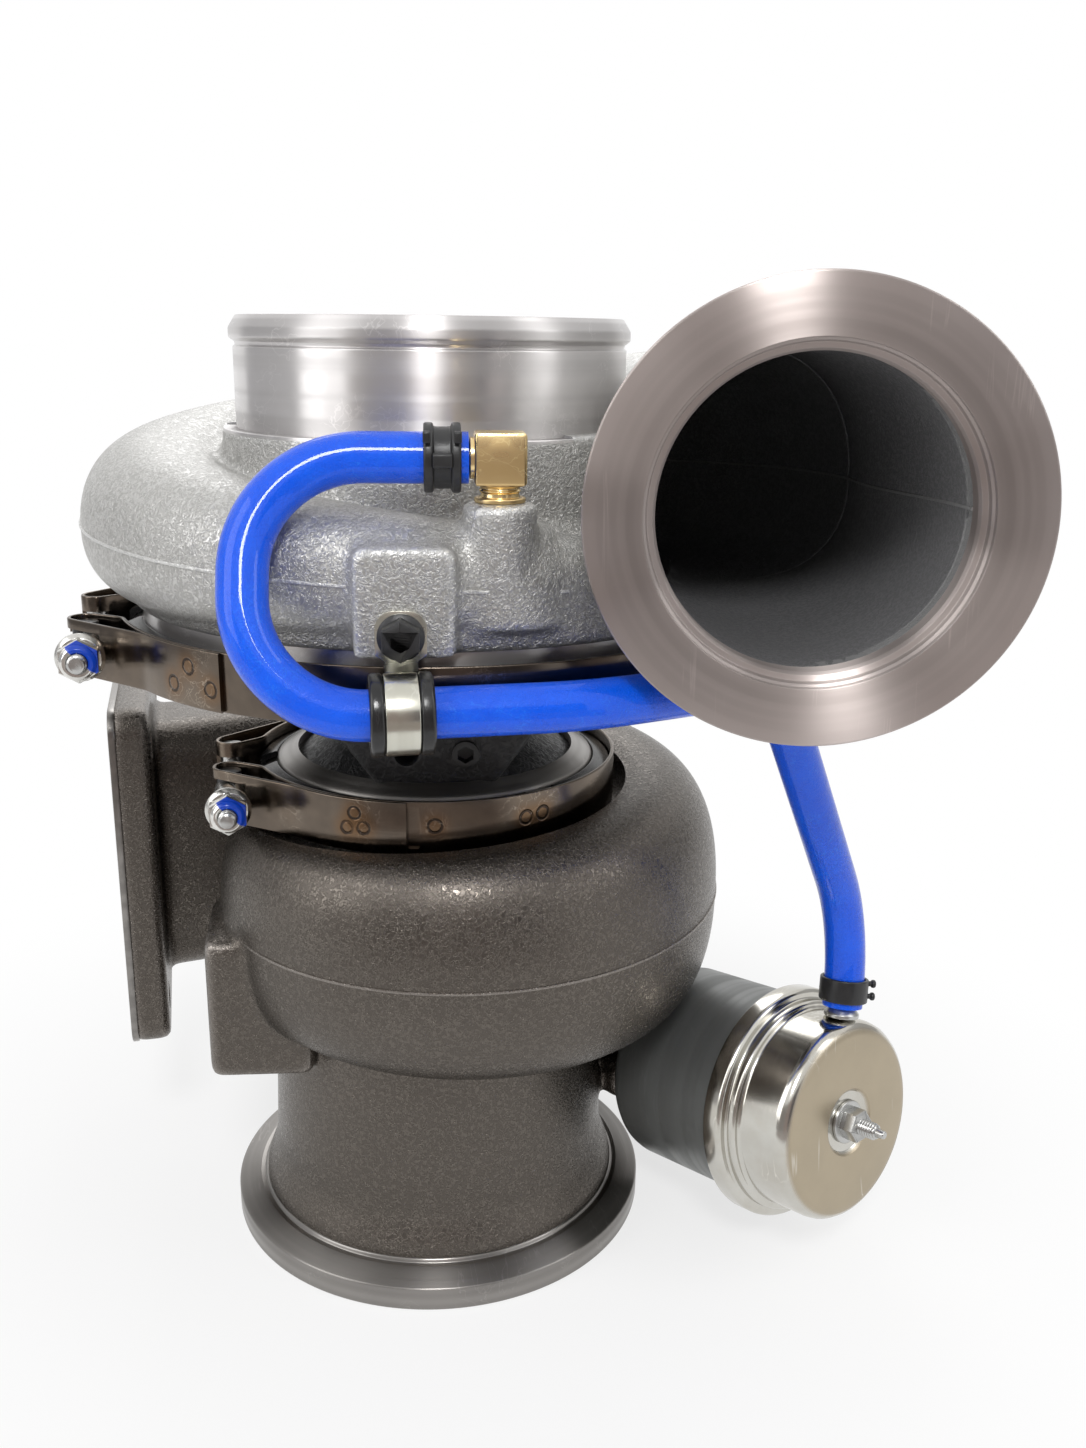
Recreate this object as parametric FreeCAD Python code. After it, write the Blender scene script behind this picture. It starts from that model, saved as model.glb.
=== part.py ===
import FreeCAD, Part
import math
import os

V = FreeCAD.Vector
ORIGIN = V(0, 0, 0)
UP = V(0, 0, 1)

# A turbocharger standing on its turbine outlet flange.
# All sizes are millimetres. The shaft axis is Z, the turbine outlet face is z = 0,
# and the turbine inlet flange faces -X.

# Driving dimensions: the main heights
TURBINE_MID_Z = 122.5        # middle plane of the twin turbine scroll
TURBINE_JOINT_Z = 168.0      # turbine housing meets bearing housing
COMPRESSOR_JOINT_Z = 221.0   # backplate meets compressor housing
COMPRESSOR_HEIGHT = 100.0    # from that joint to the rim of the inlet
INLET_TOP_Z = COMPRESSOR_JOINT_Z + COMPRESSOR_HEIGHT

# Driving dimensions: the main radii
TURBINE_WHEEL_R = 49.0
TURBINE_EXDUCER_R = 43.0
COMPRESSOR_WHEEL_R = 56.0
COMPRESSOR_INDUCER_R = 46.6
INLET_TUBE_R = 63.5          # takes a 127 mm inside hose
INLET_BORE_R = 58.0
OUTLET_FLANGE_R = 76.1       # turbine outlet V flange
DISCHARGE_FLANGE_R = 60.0    # compressor outlet V flange
DISCHARGE_BORE_R = 41.0
JOURNAL_R = 8.0
STUB_R = 6.5                 # shaft through the compressor wheel

# Driving dimensions: walls, fits and clearances
COMPRESSOR_WALL = 4.0
TURBINE_WALL = 5.0
BLADE_GAP = 0.45             # wheel tip to housing contour
SEAT_GAP = 0.3               # between touching curved faces
RUN_GAP = 0.04               # running fit on a radius
SLIP_GAP = 0.05              # located but not tight

# Driving dimensions: V bands
VEE_RIM = 3.0                # half the rim thickness of a flange pair
VEE_DEPTH = 4.0
VEE_SLOPE = math.tan(math.radians(20))
RETAINER_T = 2.0
BAND_T = 1.2
BAND_HALF_W = 8.7
TURBINE_VEE_R = TURBINE_WHEEL_R + 10.2
COMPRESSOR_VEE_R = 100.0

# Driving dimensions: blue hose
HOSE_R = 6.9
HOSE_BORE_R = 3.9

# Driving dimensions: wastegate actuator
CAN_R = 36.5
CAN_LENGTH = 56.0
CAP_R = 34.7
CAP_LENGTH = 26.0
SHEET_T = 1.5
VALVE_TRAVEL = 9.0
STEM_R = 4.0


def direction(angle, rise=0.0):
    """Unit vector from an angle about Z and a rise above the floor, in degrees."""
    a = math.radians(angle)
    e = math.radians(rise)
    return V(math.cos(a) * math.cos(e), math.sin(a) * math.cos(e), math.sin(e))


# Places that come from the photograph, as angles about the shaft axis
FRONT_ANGLE = -100.0                   # side that carries the hose and its clip
FRONT = direction(FRONT_ANGLE)
SIDE = direction(FRONT_ANGLE + 90)
DISCHARGE_ANGLE = 252.5
DISCHARGE = direction(DISCHARGE_ANGLE)
DISCHARGE_SIDE = direction(DISCHARGE_ANGLE + 90)
ACTUATOR_REACH = TURBINE_WHEEL_R + 82.7
ACTUATOR_RIM = direction(-27.83) * ACTUATOR_REACH + V(0, 0, 53.5)   # centre of the rolled rim
ACTUATOR_AXIS = direction(-64.0, 8.0)


def front_point(side, out, z):
    """A point given across and out from the shaft, as seen from the hose side."""
    return SIDE * side + FRONT * out + V(0, 0, z)


def corner_wire(corners, closed=False):
    """A wire through (point, radius) corners, each turned with a tangent arc."""
    count = len(corners)
    spots = []
    for i, (point, radius) in enumerate(corners):
        at_end = not closed and i in (0, count - 1)
        if radius <= 0 or at_end:
            spots.append((point, None, point))
            continue
        back = (corners[i - 1][0] - point).normalize()
        ahead = (corners[(i + 1) % count][0] - point).normalize()
        half = back.getAngle(ahead) / 2
        reach = radius / math.tan(half)
        middle = point + (back + ahead).normalize() * (radius / math.sin(half) - radius)
        spots.append((point + back * reach, middle, point + ahead * reach))
    edges = []
    for i in range(count):
        start, middle, end = spots[i]
        if middle is not None:
            edges.append(Part.Arc(start, middle, end).toShape())
        if closed or i < count - 1:
            following = spots[(i + 1) % count][0]
            if (following - end).Length > 1e-6:
                edges.append(Part.LineSegment(end, following).toShape())
    return Part.Wire(edges)


def turned(corners):
    """A solid turned about Z from (radius, height) or (radius, height, rounding) corners."""
    points = [(V(c[0], 0, c[1]), c[2] if len(c) > 2 else 0) for c in corners]
    return Part.Face(corner_wire(points, True)).revolve(ORIGIN, UP, 360)


def plate(corners, z_low, z_high):
    """A flat outline of (x, y) or (x, y, rounding) corners, raised between two heights."""
    points = [(V(c[0], c[1], z_low), c[2] if len(c) > 2 else 0) for c in corners]
    return Part.Face(corner_wire(points, True)).extrude(V(0, 0, z_high - z_low))


def stand(shape, origin, axis, turn=V(1, 0, 0)):
    """Stands a shape built on +Z at a place, along an axis, its X kept near turn."""
    placed = shape.copy()
    third = V(axis)
    second = third.cross(turn)
    place = FreeCAD.Placement(origin, FreeCAD.Rotation(V(), second, third, "ZYX"))
    placed.Placement = place.multiply(placed.Placement)
    return placed


def rod(radius, start, end):
    """A round bar between two points."""
    return Part.makeCylinder(radius, (end - start).Length, start, end - start)


def tube(outer, inner, z_low, z_high):
    """A ring about Z."""
    return turned([(inner, z_low), (outer, z_low), (outer, z_high), (inner, z_high)])


def hexagon(across_flats, z_low, z_high):
    """A hexagonal bar about Z."""
    radius = across_flats / math.sqrt(3)
    angles = [math.radians(60 * i) for i in range(6)]
    return plate([(radius * math.cos(a), radius * math.sin(a)) for a in angles], z_low, z_high)


def joined(shapes):
    """One solid from shapes that overlap."""
    whole = shapes[0]
    for shape in shapes[1:]:
        whole = whole.fuse(shape)
    return whole.removeSplitter()


def without(body, hollows):
    """The body with each hollow cut out in turn."""
    for hollow in hollows:
        body = body.cut(hollow)
    return body


def oval_wire(centre, across, up, half_across, half_down, half_up, power):
    """A smooth closed curve between an oval and a box, by its power."""
    points = []
    for i in range(16):
        t = 2 * math.pi * i / 16
        c = math.copysign(abs(math.cos(t)) ** (2 / power), math.cos(t))
        s = math.copysign(abs(math.sin(t)) ** (2 / power), math.sin(t))
        height = half_up if s > 0 else half_down
        points.append(centre + across * (half_across * c) + up * (height * s))
    curve = Part.BSplineCurve()
    curve.interpolate(points, PeriodicFlag=True)
    ends = [curve.parameter(points[i]) for i in (0, 4, 8, 12)] + [curve.LastParameter]
    ends[0] = curve.FirstParameter
    return Part.Wire([curve.toShape(a, b) for a, b in zip(ends, ends[1:])])


def scroll_wire(angle, inner, outer, low, high, middle, power, inset):
    """One section of a scroll, in the half plane at an angle about Z."""
    out = direction(angle)
    centre = out * ((inner + outer) / 2) + V(0, 0, middle)
    half = (outer - inner) / 2 - inset
    return oval_wire(centre, out, UP, half, middle - low - inset, high - middle - inset, power)


def meridian(axial_end, radial_end, t):
    """A point on a flow path that turns from along the shaft (t = 0) to across it (t = 90)."""
    a = math.radians(t)
    r = radial_end[0] - (radial_end[0] - axial_end[0]) * math.cos(a)
    z = axial_end[1] + (radial_end[1] - axial_end[1]) * math.sin(a)
    return r, z


def meridian_edge(axial_end, radial_end):
    """The whole flow path as one smooth edge in the XZ plane."""
    curve = Part.BSplineCurve()
    points = [meridian(axial_end, radial_end, t) for t in range(0, 91, 15)]
    curve.interpolate([V(r, 0, z) for r, z in points])
    return curve.toShape()


def wheel_blades(hub, tip, count, wraps, starts, root_t, tip_t):
    """Curved blades from hub to tip; hub and tip hold the two ends of a flow path."""
    blades = []
    for i in range(count):
        first_t = starts[i % len(starts)]
        sections = []
        for step in range(5):
            t = first_t + (90 - first_t) * step / 4
            lead = (1 - t / 90) ** 2
            sweep = (t / 90) ** 3
            angle = 360.0 * i / count + wraps[0] * lead + wraps[1] * sweep
            out = direction(angle)
            across = direction(angle + 90)
            hub_r, hub_z = meridian(hub[0], hub[1], t)
            tip_r, tip_z = meridian(tip[0], tip[1], t)
            root = out * hub_r + V(0, 0, hub_z)
            edge = out * tip_r + V(0, 0, tip_z)
            ring = [root + across * root_t, edge + across * tip_t]
            ring += [edge - across * tip_t, root - across * root_t]
            sections.append(Part.makePolygon(ring + ring[:1]))
        blades.append(Part.makeLoft(sections, True, False))
    return blades


# Compressor flow path
BACK_FACE_Z = COMPRESSOR_JOINT_Z + 10.4      # backplate face behind the wheel
WHEEL_BACK_Z = BACK_FACE_Z + 0.5
DIFFUSER_ROOF_Z = BACK_FACE_Z + 5.9
INDUCER_Z = WHEEL_BACK_Z + 32.0
WHEEL_NOSE_Z = WHEEL_BACK_Z + 40.0
TIP_AXIAL = (COMPRESSOR_INDUCER_R, INDUCER_Z)
TIP_RADIAL = (COMPRESSOR_WHEEL_R, DIFFUSER_ROOF_Z - BLADE_GAP)
CONTOUR_AXIAL = (COMPRESSOR_INDUCER_R + BLADE_GAP, INDUCER_Z)
CONTOUR_RADIAL = (COMPRESSOR_WHEEL_R + BLADE_GAP, DIFFUSER_ROOF_Z)

# Compressor housing outline
SKIRT_Z = COMPRESSOR_JOINT_Z + 10.7
SKIRT_R = COMPRESSOR_VEE_R - 1.6
SPIGOT_R = COMPRESSOR_VEE_R - 9.0
INLET_LIP_Z = INLET_TOP_Z - 33.6
NECK_R = INLET_TUBE_R + 4.3
SCROLL_START = -58.0
SCROLL_TURN = -(DISCHARGE_ANGLE - 270 - SCROLL_START) + 360
DISCHARGE_REACH = 109.7                      # outlet face ahead of the shaft
DISCHARGE_Z = COMPRESSOR_JOINT_Z + 51.2
DISCHARGE_OFFSET = 112.1


def compressor_scroll_size(u):
    """Inner and outer radius, floor, roof and middle height at a share u of the turn."""
    outer = COMPRESSOR_VEE_R - 4.5 + 47.0 * u
    inner = outer - 2 * (11.0 + 31.5 * u ** 0.75)
    height = 26.0 + 60.0 * u ** 0.9
    low = SKIRT_Z + 1.0
    return inner, outer, low, low + height - 1.0, low + 0.43 * height


def compressor_scroll(inset, first):
    """The growing scroll and its straight outlet, as one solid."""
    count = 12
    sections = []
    for i in range(count + 1):
        u = first + (1 - first) * i / count
        inner, outer, low, high, middle = compressor_scroll_size(u)
        angle = SCROLL_START - SCROLL_TURN * u
        sections.append(scroll_wire(angle, inner, outer, low, high, middle, 2.3, inset))
    scroll = Part.makeLoft(sections, True, False)
    inner, outer, low, high, middle = compressor_scroll_size(1.0)
    duct = []
    for share in (0.0, 0.4, 0.8, 0.98):
        ease = share * share * (3 - 2 * share)
        offset = (inner + outer) / 2 * (1 - ease) + DISCHARGE_OFFSET * ease
        centre_z = middle * (1 - ease) + DISCHARGE_Z * ease
        end_r = DISCHARGE_BORE_R + COMPRESSOR_WALL + 0.5
        half = (outer - inner) / 2 * (1 - ease) + end_r * ease - inset
        down = (middle - low) * (1 - ease) + end_r * ease - inset
        rise = (high - middle) * (1 - ease) + end_r * ease - inset
        centre = DISCHARGE_SIDE * offset + DISCHARGE * (DISCHARGE_REACH * share)
        centre = centre + V(0, 0, centre_z)
        power = 2.3 * (1 - ease) + 2.0 * ease
        duct.append(oval_wire(centre, DISCHARGE_SIDE, UP, half, down, rise, power))
    return scroll, Part.makeLoft(duct, True, False)


def compressor_housing():
    """Cast housing: inlet, wheel contour, diffuser, growing scroll, V flanges, pad and boss."""
    joint = COMPRESSOR_JOINT_Z
    vee_r = COMPRESSOR_VEE_R
    core = turned([
        (0, joint), (vee_r, joint), (vee_r, joint + VEE_RIM),
        (vee_r - VEE_DEPTH, joint + VEE_RIM + VEE_DEPTH * VEE_SLOPE),
        (vee_r - VEE_DEPTH, SKIRT_Z), (SKIRT_R, SKIRT_Z), (SKIRT_R, SKIRT_Z + 8, 3),
        (NECK_R + 14, SKIRT_Z + 20, 8), (NECK_R + 1, SKIRT_Z + 30, 8), (NECK_R, INLET_LIP_Z, 0.6),
        (INLET_TUBE_R, INLET_LIP_Z), (INLET_TUBE_R, INLET_TOP_Z - 9.5),
        (INLET_TUBE_R - 0.8, INLET_TOP_Z - 9.0), (INLET_TUBE_R + 1.2, INLET_TOP_Z - 7.0, 1),
        (INLET_TUBE_R + 1.2, INLET_TOP_Z - 4.0, 2), (INLET_TUBE_R - 1.2, INLET_TOP_Z, 0.5),
        (0, INLET_TOP_Z),
    ])
    scroll, duct = compressor_scroll(0, 0.0)
    flange = stand(turned([
        (0, 0), (DISCHARGE_FLANGE_R, 0, 0.5), (DISCHARGE_FLANGE_R, -3.0, 0.4),
        (DISCHARGE_FLANGE_R - 10, -6.6), (DISCHARGE_BORE_R + 5.5, -9.0, 3),
        (DISCHARGE_BORE_R + 4.2, -22.0), (0, -22.0),
    ]), discharge_centre(), DISCHARGE, DISCHARGE_SIDE)
    body = joined([core, scroll, duct, flange, clip_pad(), elbow_boss()])
    return without(body, compressor_hollows())


def discharge_centre():
    """Middle of the compressor outlet face."""
    return DISCHARGE_SIDE * DISCHARGE_OFFSET + DISCHARGE * DISCHARGE_REACH + V(0, 0, DISCHARGE_Z)


def compressor_hollows():
    """Everything that is cut out of the compressor housing."""
    joint = COMPRESSOR_JOINT_Z
    contour = meridian_edge(CONTOUR_AXIAL, CONTOUR_RADIAL)
    points = [
        (CONTOUR_RADIAL[0], DIFFUSER_ROOF_Z), (SPIGOT_R - 20, DIFFUSER_ROOF_Z),
        (SPIGOT_R - 20, DIFFUSER_ROOF_Z + 7), (SPIGOT_R - 11, DIFFUSER_ROOF_Z + 7),
        (SPIGOT_R - 11, BACK_FACE_Z), (SPIGOT_R, BACK_FACE_Z), (SPIGOT_R, joint - 1),
        (0, joint - 1), (0, INLET_TOP_Z + 1), (INLET_BORE_R + 2.5, INLET_TOP_Z + 1),
        (INLET_BORE_R, INLET_TOP_Z - 14), (INLET_BORE_R, INDUCER_Z + 24),
        (CONTOUR_AXIAL[0], INDUCER_Z + 5), (CONTOUR_AXIAL[0], INDUCER_Z),
    ]
    corners = [V(r, 0, z) for r, z in points]
    edges = [Part.LineSegment(a, b).toShape() for a, b in zip(corners, corners[1:])]
    bore = Part.Face(Part.Wire(edges + [contour])).revolve(ORIGIN, UP, 360)
    scroll, duct = compressor_scroll(COMPRESSOR_WALL, 0.025)
    mouth = stand(turned([
        (0, 1), (DISCHARGE_BORE_R + 3.3, 1), (DISCHARGE_BORE_R + 3.3, -2.5, 0.5),
        (DISCHARGE_BORE_R, -5.0), (DISCHARGE_BORE_R - 0.3, -20.0), (0, -20.0),
    ]), discharge_centre(), DISCHARGE, DISCHARGE_SIDE)
    screw = rod(CLIP_BOLT_R + SLIP_GAP, CLIP_BOLT + FRONT, CLIP_BOLT - FRONT * 13)
    tap = rod(ELBOW_THREAD_R + SLIP_GAP, ELBOW_SEAT + UP, ELBOW_SEAT - UP * 8)
    drilling = rod(1.6, ELBOW_SEAT, ELBOW_SEAT - UP * 16)
    return [bore, scroll, duct, mouth, screw, tap, drilling]


# Hose route, seen from its own side: across, out from the shaft, height
HOSE_CLAMP_SIDE = -9.0
ELBOW = front_point(18.0, 90.0, 284.1)
HOSE_TOP_LEFT = front_point(-50.0, 90.0, 284.1)
HOSE_LOW_LEFT = front_point(-50.0, COMPRESSOR_VEE_R + 19.0, 219.5)
HOSE_PASS = front_point(40.0, COMPRESSOR_VEE_R + 11.0, 220.5)
HOSE_BEND = direction(-48.814) * (COMPRESSOR_VEE_R + 27.56) + UP * 219.0
ELBOW_HALF = 7.0
ELBOW_THREAD_R = 4.4
ELBOW_SEAT = ELBOW - UP * 11.7
HOSE_START = ELBOW - SIDE * (ELBOW_HALF + 1.5)
CLIP_AXIS = (HOSE_PASS - HOSE_LOW_LEFT).normalize()
CLIP_SHARE = (HOSE_CLAMP_SIDE + 50.0) / 90.0
CLIP = HOSE_LOW_LEFT + (HOSE_PASS - HOSE_LOW_LEFT) * CLIP_SHARE

# Hose clip on its pad
CUSHION_BORE_R = HOSE_R + SEAT_GAP
CUSHION_R = HOSE_R + 2.7
CUSHION_LIP_R = HOSE_R + 4.2
CUSHION_HALF = 8.5
STRAP_R = CUSHION_R + SEAT_GAP
STRAP_T = 1.0
STRAP_HALF = 4.5
PAD_OUT = CLIP.dot(FRONT) - STRAP_R - STRAP_T
CLIP_BOLT_R = 3.0
CLIP_BOLT_Z = CLIP.z + 18.5
CLIP_BOLT = front_point(HOSE_CLAMP_SIDE, PAD_OUT, CLIP_BOLT_Z)


def clip_pad():
    """Raised rectangular pad on the front of the scroll."""
    low = SKIRT_Z
    block = plate([(-22, low), (6, low), (6, low + 30.5, 4), (-22, low + 30.5, 4)], 78, PAD_OUT)
    return stand(block, ORIGIN, FRONT, SIDE)


def elbow_boss():
    """Round boss on the scroll roof under the brass elbow."""
    base = V(ELBOW.x, ELBOW.y, SKIRT_Z + 18)
    return Part.makeCylinder(10.0, ELBOW_SEAT.z - base.z, base)


def compressor_wheel():
    """Machined wheel with six full blades and six splitters."""
    hub_axial = (14.0, INDUCER_Z + 4)
    hub_radial = (COMPRESSOR_WHEEL_R, WHEEL_BACK_Z + 2.6)
    edge = meridian_edge(hub_axial, hub_radial)
    points = [
        hub_radial, (COMPRESSOR_WHEEL_R, WHEEL_BACK_Z), (STUB_R + SLIP_GAP, WHEEL_BACK_Z),
        (STUB_R + SLIP_GAP, WHEEL_NOSE_Z), (12.5, WHEEL_NOSE_Z), hub_axial,
    ]
    corners = [V(r, 0, z) for r, z in points]
    lines = [Part.LineSegment(a, b).toShape() for a, b in zip(corners, corners[1:])]
    hub = Part.Face(Part.Wire(lines + [edge])).revolve(ORIGIN, UP, 360)
    sunk = ((12.6, INDUCER_Z), (COMPRESSOR_WHEEL_R, WHEEL_BACK_Z + 1.4))
    tip = (TIP_AXIAL, TIP_RADIAL)
    blades = wheel_blades(sunk, tip, 12, (-52.0, 26.0), (0.0, 30.0), 0.9, 0.45)
    return joined([hub] + blades)


# Turbine flow path
TURBINE_BACK_Z = TURBINE_MID_Z + 8.5
SHROUD_Z = TURBINE_MID_Z - 8.5
EXDUCER_Z = TURBINE_MID_Z - 27.5
TURBINE_TIP = ((TURBINE_EXDUCER_R, EXDUCER_Z), (TURBINE_WHEEL_R, SHROUD_Z + BLADE_GAP))
TURBINE_CONTOUR = ((TURBINE_EXDUCER_R + BLADE_GAP, EXDUCER_Z), (TURBINE_WHEEL_R + BLADE_GAP, SHROUD_Z))
TURBINE_BORE_R = TURBINE_WHEEL_R + 2.5
SEAL_R = 10.3

# Shaft stations between the wheels
NOSE_Z = TURBINE_JOINT_Z - 21.0              # end of the bearing housing by the turbine
THRUST_Z = TURBINE_JOINT_Z + 35.0            # lower face of the thrust bearing
THRUST_T = 4.0
HOUSING_TOP_Z = COMPRESSOR_JOINT_Z - 9.0
BEARING_BORE_R = JOURNAL_R + 5.0
BEARING_LENGTH = 12.0
BEARING_LOW_Z = TURBINE_JOINT_Z - 5.0
BEARING_HIGH_Z = THRUST_Z - 3.4 - BEARING_LENGTH
COLLAR_R = 14.0
RING_T = 2.0


def turbine_wheel_shaft():
    """Turbine wheel with eleven blades, seal collar, journals and threaded stub in one piece."""
    back_z = TURBINE_BACK_Z
    hub_axial = (13.0, EXDUCER_Z)
    hub_radial = (TURBINE_WHEEL_R - 2.0, back_z)
    edge = meridian_edge(hub_axial, hub_radial)
    ring_z = NOSE_Z + 4.0
    collar_r = SEAL_R
    points = [
        hub_radial, (TURBINE_WHEEL_R - 2.0, back_z + 2), (22.0, back_z + 9.5), (collar_r, back_z + 9.5),
        (collar_r, ring_z - 0.1), (collar_r - 1.9, ring_z - 0.1), (collar_r - 1.9, ring_z + RING_T + 0.1),
        (collar_r, ring_z + RING_T + 0.1), (collar_r, BEARING_LOW_Z - 2.5), (JOURNAL_R, BEARING_LOW_Z - 1.5),
        (JOURNAL_R, THRUST_Z - 3.0), (STUB_R, THRUST_Z - 3.0), (STUB_R, WHEEL_NOSE_Z + 13.0),
        (STUB_R - 1, WHEEL_NOSE_Z + 14.0), (0, WHEEL_NOSE_Z + 14.0), (0, EXDUCER_Z - 3.0),
        (9.0, EXDUCER_Z - 3.0), hub_axial,
    ]
    corners = [V(r, 0, z) for r, z in points]
    lines = [Part.LineSegment(a, b).toShape() for a, b in zip(corners, corners[1:])]
    hub = Part.Face(Part.Wire(lines + [edge])).revolve(ORIGIN, UP, 360)
    sunk = ((11.5, EXDUCER_Z), (TURBINE_WHEEL_R, back_z + 0.8))
    blades = wheel_blades(sunk, TURBINE_TIP, 11, (42.0, 0.0), (0.0,), 1.5, 0.8)
    return joined([hub] + blades)


# Turbine housing
INLET_FACE_X = -112.0
INLET_FLANGE_T = 14.0
INLET_Y = 75.0
INLET_HALF_Y = 54.0
INLET_HALF_Z = 65.0
INLET_BOLT_Y = 41.0
INLET_BOLT_Z = 50.0
PORT_HALF_Y = 21.0
PORT_HALF_Z = 43.0
DIVIDER_T = 5.0
OUTLET_BORE_R = 54.5
OUTLET_NECK_R = 60.8
TURBINE_SCROLL_START = 90.0
TURBINE_SCROLL_TURN = 340.0
CLAMP_POCKET_R = TURBINE_VEE_R + 8.3
CLAMP_POCKET_Z = TURBINE_JOINT_Z - 11.0


def turbine_scroll_size(u):
    """Inner and outer radius, floor and roof at a share u of the shrinking turn."""
    outer = TURBINE_WHEEL_R + 68.5 - 51.5 * u
    low = TURBINE_MID_Z - 50.5 + 26.0 * u
    high = TURBINE_MID_Z + 53.0 - 24.0 * u
    return TURBINE_WHEEL_R + 1.0, outer, low, high


def turbine_scroll(inset):
    """The shrinking scroll, and the straight runner that feeds it from the inlet flange."""
    count = 12
    sections = []
    for i in range(count + 1):
        u = i / count
        inner, outer, low, high = turbine_scroll_size(u)
        angle = TURBINE_SCROLL_START - TURBINE_SCROLL_TURN * u
        sections.append(scroll_wire(angle, inner, outer, low, high, (low + high) / 2, 2.4, inset))
    scroll = Part.makeLoft(sections, True, False)
    inner, outer, low, high = turbine_scroll_size(0.0)
    middle = (low + high) / 2
    wall = 7.0
    start_x = INLET_FACE_X - 1 if inset else INLET_FACE_X + 2
    half_y = PORT_HALF_Y + (0 if inset else wall)
    half_z = PORT_HALF_Z + (0 if inset else wall)
    y_axis = V(0, 1, 0)
    first = V(start_x, INLET_Y, TURBINE_MID_Z)
    last = V(0, (inner + outer) / 2, middle)
    half_last = (outer - inner) / 2 - inset
    runner = [
        oval_wire(first, y_axis, UP, half_y, half_z, half_z, 6.0),
        oval_wire(last, y_axis, UP, half_last, middle - low - inset, high - middle - inset, 2.4),
    ]
    return scroll, Part.makeLoft(runner, True, False)


def actuator_point(s, across=0.0, up=0.0):
    """A point along the actuator's axis from its rim, outward positive."""
    side = UP.cross(ACTUATOR_AXIS).normalize()
    top = ACTUATOR_AXIS.cross(side)
    return ACTUATOR_RIM + ACTUATOR_AXIS * s + side * across + top * up


def on_actuator(shape):
    """Places a shape that was built on +Z, its zero height at the actuator's rim."""
    return stand(shape, ACTUATOR_RIM, ACTUATOR_AXIS, UP.cross(ACTUATOR_AXIS))


# Wastegate stations along the actuator's axis, measured from its rim
PISTON_TOP = 8.0
PISTON_R = 26.5
CAN_BASE = -CAN_LENGTH
EAR_REACH = 26.5
CHAMBER_END = CAN_BASE - 24.0
SEAT_TOP = CHAMBER_END - 28.0
SEAT_FACE = SEAT_TOP - 5.0
BYPASS_AT = SEAT_FACE - VALVE_TRAVEL - 2.0
CHAMBER_R = 22.0
CHAMBER_BORE_R = 16.0
SEAT_BORE_R = 10.0
SEAT_R = 12.5
VALVE_HEAD_R = 13.0
BUSH_R = 7.9


def wastegate_castings():
    """Outside of the valve chamber, the bypass from the scroll floor and the actuator's seat."""
    chamber = on_actuator(Part.makeCylinder(CHAMBER_R, CAN_BASE - BYPASS_AT, V(0, 0, BYPASS_AT)))
    foot = actuator_point(BYPASS_AT)
    bypass = Part.makeCylinder(21.0, TURBINE_MID_Z - 34 - 15, V(foot.x, foot.y, 15))
    ears = plate([
        (-EAR_REACH - 7, -7, 6), (EAR_REACH + 7, -7, 6), (EAR_REACH + 7, 7, 6), (-EAR_REACH - 7, 7, 6),
    ], CAN_BASE - 8, CAN_BASE)
    return [chamber, bypass, on_actuator(ears)]


def wastegate_hollows():
    """Valve chamber, bypass, port into the outlet, bush bore, seat bore and bolt holes."""
    foot = actuator_point(BYPASS_AT)
    height = TURBINE_MID_Z - 30 - 20
    bypass = Part.makeCylinder(16.0, height, V(foot.x, foot.y, 20))
    chamber = on_actuator(tube(CHAMBER_BORE_R, 0.0, SEAT_TOP, CHAMBER_END))
    seat = on_actuator(tube(SEAT_R + SLIP_GAP, 0.0, SEAT_FACE, SEAT_TOP))
    head = on_actuator(tube(VALVE_HEAD_R + 2, 0.0, BYPASS_AT, SEAT_FACE))
    bush = on_actuator(tube(BUSH_R + SLIP_GAP, 0.0, CHAMBER_END, CAN_BASE))
    middle = actuator_point((SEAT_TOP + CHAMBER_END) / 2)
    inward = V(-middle.x, -middle.y, 0).normalize()
    port = rod(12.0, middle, middle + inward * 36)
    bolts = []
    for side in (-1, 1):
        start = actuator_point(CAN_BASE + 1, side * EAR_REACH)
        end = actuator_point(CAN_BASE - 9, side * EAR_REACH)
        bolts.append(rod(3.0 + SLIP_GAP, start, end))
    return [bypass, chamber, seat, head, bush, port] + bolts


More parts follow.
